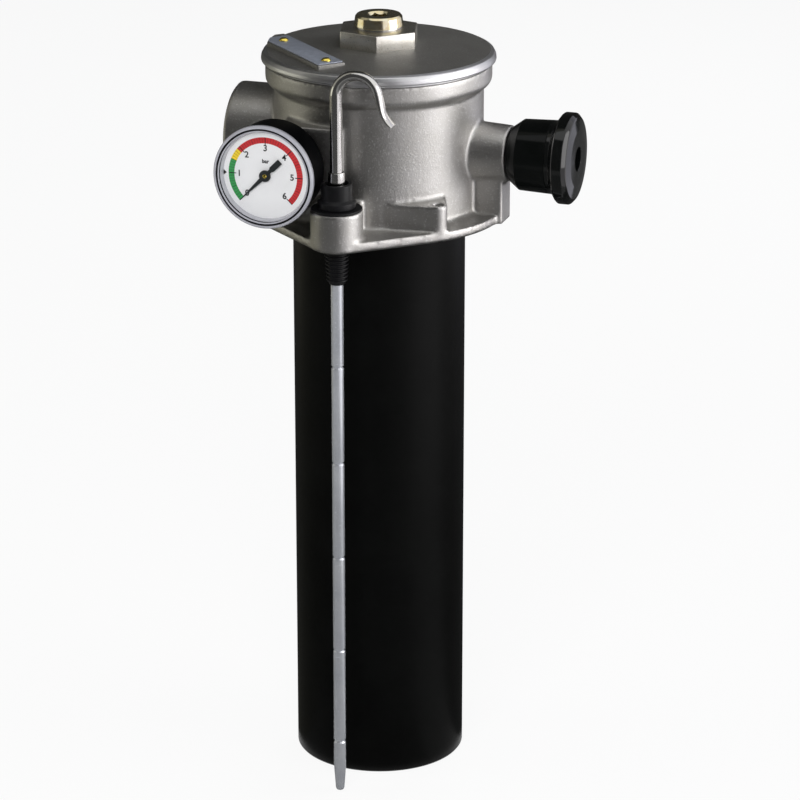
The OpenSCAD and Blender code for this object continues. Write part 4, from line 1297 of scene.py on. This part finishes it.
@dataclass
class Dipstick:
    """The dipstick: rod with level rings and hook, ferrule, bung and its washer.

    Attributes:
        x: place along the ports.
        y: place across the ports.
        seat: height of the boss's top.
        washer: thickness of the washer below the bung.
        handle: radius of the handle.
        rod: radius of the rod below the bung.
        step_z: height at which the rod becomes the handle.
        tip: depth of the rod's tip.
        ring_top: depth of the uppermost level ring.
        pitch: distance between two rings.
        rings: number of rings.
        ribs: number of the bung's ribs.
        rib_pitch: distance between two ribs.
        hook_z: height of the middle of the hook's bend.
        hook_r: radius of the bend.
        bend: angle of the bend in degrees.
        leg: length of the straight leg behind the bend.
        flare_r: radius of the flared end.
        flare: angle of the flared end in degrees.
    """

    x: float = 0.9
    y: float = -59.9
    seat: float = 17.2
    washer: float = 0.9
    handle: float = 2.7
    rod: float = 2.7
    step_z: float = 26.4
    tip: float = -253.8
    ring_top: float = -53.3
    pitch: float = 44.1
    rings: int = 5
    ribs: int = 8
    rib_pitch: float = 1.78
    hook_z: float = 66.9
    hook_r: float = 9.3
    bend: float = 163.0
    leg: float = 7.5
    flare_r: float = 13.0
    flare: float = 38.0

    def track(self, share: float) -> tuple[float, float, float]:
        """Gives a point of the hook's centre line.

        Args:
            share: 0 at the bend's start, 1 at its end, 2 behind the leg, 3 at the tip.

        Returns:
            Place along X and Z, and heading in degrees.
        """
        turn = math.radians(self.bend * min(share, 1.0))
        x, z = self.hook_r * (1 - math.cos(turn)), self.hook_r * math.sin(turn)
        heading = 90.0 - math.degrees(turn)
        way = self.leg * min(max(share - 1.0, 0.0), 1.0)
        h = math.radians(heading)
        x, z = x + way * math.cos(h), z + way * math.sin(h)
        t = math.radians(self.flare * min(max(share - 2.0, 0.0), 1.0))
        x += self.flare_r * (math.sin(h + t) - math.sin(h))
        z += self.flare_r * (math.cos(h) - math.cos(h + t))
        return x, z, heading + math.degrees(t)

    def hook(self) -> Mesh:
        """Bridges rings along the hook from the handle to its flattened end.

        Returns:
            The mesh.
        """
        bm = bmesh.new()
        shares = [-0.02] + [k / 36 for k in range(37)] + [1 + k / 4 for k in range(1, 5)]
        shares += [2 + k / 12 for k in range(1, 13)]
        last: list[bmesh.types.BMEdge] = []
        for k, share in enumerate(shares):
            x, z, heading = self.track(max(share, 0.0))
            slim = min(1.0, max(share, 0.0) / 0.7)
            flat = min(1.0, max(0.0, (share - 1.2) / 1.8))
            thin = self.handle * (1 - 0.26 * slim - 0.46 * flat)
            wide = self.handle * (1 - 0.06 * slim + 0.36 * flat)
            spot = Matrix.Translation((x, 0.0, z - 2.0 if share < 0 else z))
            frame = (spot @ Matrix.Rotation(math.radians(90 - heading), 4, "Y")
                     @ Matrix.Diagonal((thin, wide, 1.0, 1.0)))
            made = bmesh.ops.create_circle(bm, cap_ends=k in (0, len(shares) - 1), segments=32, radius=1.0,
                                           matrix=frame)
            edges = list({e for v in made["verts"] for e in v.link_edges})
            if last:
                bmesh.ops.bridge_loops(bm, edges=last + edges)
            last = edges
        rim = [e for e in last if e.is_valid]
        bmesh.ops.bevel(bm, geom=rim, offset=0.35, segments=3, profile=0.5, affect="EDGES",
                        clamp_overlap=True, material=-1)
        return bm

    def shaft(self) -> Mesh:
        """Turns the straight rod with its grooves and its pointed tip.

        Returns:
            The mesh.
        """
        rod, tip = self.rod, self.tip
        corners = [(0.0, tip, 0.0), (1.5, tip, 0.3), (rod - 0.8, tip + 0.8, 0.3), (rod, tip + 11.6, 1.5)]
        for k in reversed(range(self.rings)):
            z = self.ring_top - k * self.pitch
            corners += [(rod, z - 0.75, 0.12), (rod - 0.45, z - 0.2, 0.12), (rod - 0.45, z + 0.2, 0.12),
                        (rod, z + 0.75, 0.12)]
        corners += [(rod, self.step_z, 0), (0.0, self.step_z, 0)]
        return lathe(rounded(corners, 3), 48)

    def bung(self) -> Mesh:
        """Turns the rubber bung with its ribs.

        Returns:
            The mesh.
        """
        z = self.seat + self.washer
        corners = [(2.8, -15.8, 0), (3.4, -15.8, 0.4), (3.6, -14.6, 0.2)]
        for k in range(self.ribs):
            low = -14.4 + k * self.rib_pitch
            core, rib = 3.6 + 0.1 * k, 4.6 + 0.12 * k
            corners += [(core, low, 0.1), (rib - 0.35, low + 0.15, 0.1), (rib, low + 0.55, 0.1),
                        (rib - 0.1, low + 0.85, 0.1), (core + 0.05, low + 1.0, 0.1)]
        corners += [(4.7, z, 0), (8.3, z, 0.5), (8.3, z + 2.9, 0.6), (7.3, z + 3.6, 0.5), (6.7, z + 4.2, 0.4),
                    (6.7, z + 10.8, 0.7), (5.2, z + 10.8, 0.4), (5.2, z + 8.6, 0.2), (3.05, z + 8.6, 0)]
        return lathe(rounded(corners, 4), 96)

    def build(self, shop: Workshop) -> None:
        """Makes the pieces of the dipstick.

        Args:
            shop: the maker of pieces.
        """
        place = Matrix.Translation((self.x, self.y, 0.0))
        shop.piece("rod_shaft", self.shaft(), Body.DIPSTICK, ROD, place=place, node="dipstick_rod")
        top = self.hook_z + 0.3
        grip = lathe([(0.0, self.step_z), (self.handle, self.step_z), (self.handle, top), (0.0, top)], 48)
        shop.piece("rod_handle", grip, Body.DIPSTICK, STEEL, place=place)
        shop.piece("rod_hook", self.hook(), Body.DIPSTICK, STEEL, sharp=60.0,
                   place=place @ Matrix.Translation((0.0, 0.0, self.hook_z)))
        shop.piece("bung_body", self.bung(), Body.BUNG, BLACK_RUBBER, place=place, node="dipstick_bung")
        low, high = self.seat, self.seat + self.washer
        disc = [(5.95, low, 0), (11.0, low, 0.3), (11.0, high, 0.3), (5.95, high, 0)]
        shop.turned("bung_washer", disc, Body.HEAD, BLACK_RUBBER, 96, place, "dipstick_washer")
        sleeve = [(3.05, 26.7, 0), (3.75, 26.7, 0.2), (3.6, 33.2, 0.3), (3.35, 33.7, 0.2), (3.05, 33.7, 0)]
        shop.turned("sleeve", sleeve, Body.DIPSTICK, STEEL, 64, place, "dipstick_ferrule")


@dataclass
class Breather:
    """The breather: hollow body, cap with key recess and washer.

    Attributes:
        start: distance of the boss's face from the middle.
        height: height of its axis.
        body: radius of the body next to the bevel.
        flare: how much wider the body is at the cap.
        cap: radius of the cap.
        joint: distance of the cap's start from the boss's face.
        cap_len: length of the cap.
    """

    start: float = 60.6
    height: float = 31.1
    body: float = 15.5
    flare: float = 0.5
    cap: float = 19.9
    joint: float = 18.6
    cap_len: float = 11.2

    def lid(self) -> Mesh:
        """Turns the cap and cuts its key recess.

        Returns:
            The mesh.
        """
        wide, cap, z, top = self.body + self.flare, self.cap, self.joint, self.joint + self.cap_len
        lid = lathe(rounded([
            (13.7, z, 0), (wide, z + 0.05, 0.25), (wide + 0.05, z + 1.7, 0.4), (cap - 0.6, z + 3.9, 0.6),
            (cap, z + 4.6, 0.5), (cap, top - 2.5, 0.9), (cap - 1.7, top - 1.0, 1.2), (17.3, top - 0.8, 0.1),
            (12.0, top - 0.16, 6.0), (6.4, top, 0.3), (0, top, 0), (0, top - 5.0, 0), (7.2, top - 5.0, 0.3),
            (7.2, top - 2.6, 0.5), (13.7, top - 3.2, 0),
        ]), 160)
        recess = [(0, top - 3.0), (5.0, top - 3.0), (5.2, top - 0.3), (5.8, top + 0.5), (0, top + 0.5)]
        lid = combine(lid, lathe(recess, 96), "DIFFERENCE")
        return combine(lid, hexagon(6.8, top - 4.6, top, 20.0), "DIFFERENCE")

    def build(self, shop: Workshop) -> None:
        """Makes the pieces of the breather.

        Args:
            shop: the maker of pieces.
        """
        place = sideways(self.start, self.height)
        joint, inner = self.joint, self.body - 1.8
        shell = [
            (4.0, -9.0, 0), (6.6, -9.0, 0.3), (6.6, 0.8, 0), (12.2, 0.8, 0.4), (self.body, 5.2, 0.7),
            (self.body + self.flare, joint - 0.1, 0.25), (inner, joint, 0), (inner, 5.7, 0.5), (10.8, 2.8, 0),
            (4.0, 2.8, 0),
        ]
        shop.turned("breather_shell", shell, Body.HEAD, BLACK_GLOSS, 128, place, "breather_body")
        shop.piece("breather_lid", self.lid(), Body.HEAD, CAP_GLOSS, sharp=30.0, place=place,
                   node="breather_cap")
        ring = [(6.9, 0, 0), (11.0, 0, 0.2), (11.0, 0.8, 0.2), (6.9, 0.8, 0)]
        shop.turned("breather_seal_ring", ring, Body.HEAD, BLACK_RUBBER, 96, place, "breather_washer")


@dataclass
class Bowl:
    """The long tube with its collar and its rolled lower edge.

    Attributes:
        radius: outer radius.
        wall: wall of the tube.
        low: height of its open end.
        collar: lower and upper height and radius of its collar.
    """

    radius: float = 38.0
    wall: float = 1.6
    low: float = -254.8
    collar: tuple[float, float, float] = (13.0, 15.5, 41.3)

    def build(self, shop: Workshop) -> None:
        """Makes the tube.

        Args:
            shop: the maker of pieces.
        """
        low, high, wide = self.collar
        inner, outer = self.radius - self.wall, self.radius
        section = [(inner, self.low, 0.3), (outer - 0.6, self.low, 0.3), (outer, self.low + 0.8, 0.5),
                   (outer, low, 0.5), (wide, low, 0.2), (wide, high, 0.2), (inner, high, 0.4)]
        shop.turned("tube_shell", section, Body.HEAD, BLACK_PAINT, 192, node="bowl_tube")


class Filter:
    """The whole dressed model.

    Attributes:
        NODES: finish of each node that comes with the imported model.
    """

    NODES: dict[str, Finish] = {
        "tank_gasket": FIBRE, "head_casting": CAST, "cover_seal": BLACK_RUBBER, "cover": CAST_COVER_SHADE,
        "rating_plate": PLATE, "plate_rivets": YELLOW_ZINC, "fill_plug": YELLOW_ZINC,
        "fill_plug_washer": STEEL, "gauge_stem": BRASS, "gauge_washer": BRASS, "gauge_case": CASE_BLACK,
        "gauge_bourdon_tube": BRASS, "gauge_movement": BRASS, "gauge_dial": DIAL,
        "gauge_needle": NEEDLE_PAINT, "gauge_bezel": BEZEL, "dipstick_rod": STEEL,
        "dipstick_ferrule": STEEL, "dipstick_bung": BLACK_RUBBER,
        "dipstick_washer": BLACK_RUBBER, "breather_washer": BLACK_RUBBER, "breather_body": BLACK_GLOSS,
        "breather_media": MEDIUM, "breather_cap": BLACK_GLOSS, "bowl_seal": BLACK_RUBBER,
        "bowl_tube": BLACK_PAINT, "bowl_outlet": GALVANISED, "element_bottom_cap": GALVANISED,
        "element_seal": BLACK_RUBBER, "element_core": GALVANISED, "element_media": MEDIUM,
        "element_top_cap": GALVANISED, "element_handle": STEEL, "bypass_cage": GALVANISED,
        "bypass_poppet": GALVANISED, "bypass_spring": STEEL, "hold_down_spring": STEEL,
    }

    def __init__(self) -> None:
        """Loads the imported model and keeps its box."""
        self.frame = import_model()
        self.cad_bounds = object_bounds()
        self.shop = Workshop(Paintbox())

    def paint_nodes(self) -> None:
        """Gives every carried-over node its finish."""
        paint = self.shop.paint
        coats = {name: paint.get(finish) for name, finish in self.NODES.items()}
        coats["gauge_lens"] = paint.clear()
        for name, coat in coats.items():
            for slot in self.frame["nodes"][name].material_slots:
                slot.material = coat

    def build(self) -> None:
        """Builds the studio, the finishes and the pieces in order."""
        Studio().build()
        self.paint_nodes()
        CastHead().build(self.shop, self.frame)
        cover = Cover()
        cover.build(self.shop)
        RatingPlate().build(self.shop, cover.plate_frame())
        FillPlug().build(self.shop)
        gauge = Gauge()
        gauge.build(self.shop)
        DialPrint(gauge.frame()).build(self.shop)
        Dipstick().build(self.shop)
        Breather().build(self.shop)
        Bowl().build(self.shop)


def main() -> None:
    """Builds the scene in order."""
    logging.basicConfig(level=logging.INFO)
    bpy.context.scene.view_settings.view_transform = "Standard"
    model = Filter()
    model.build()


if __name__ == "__main__":
    main()
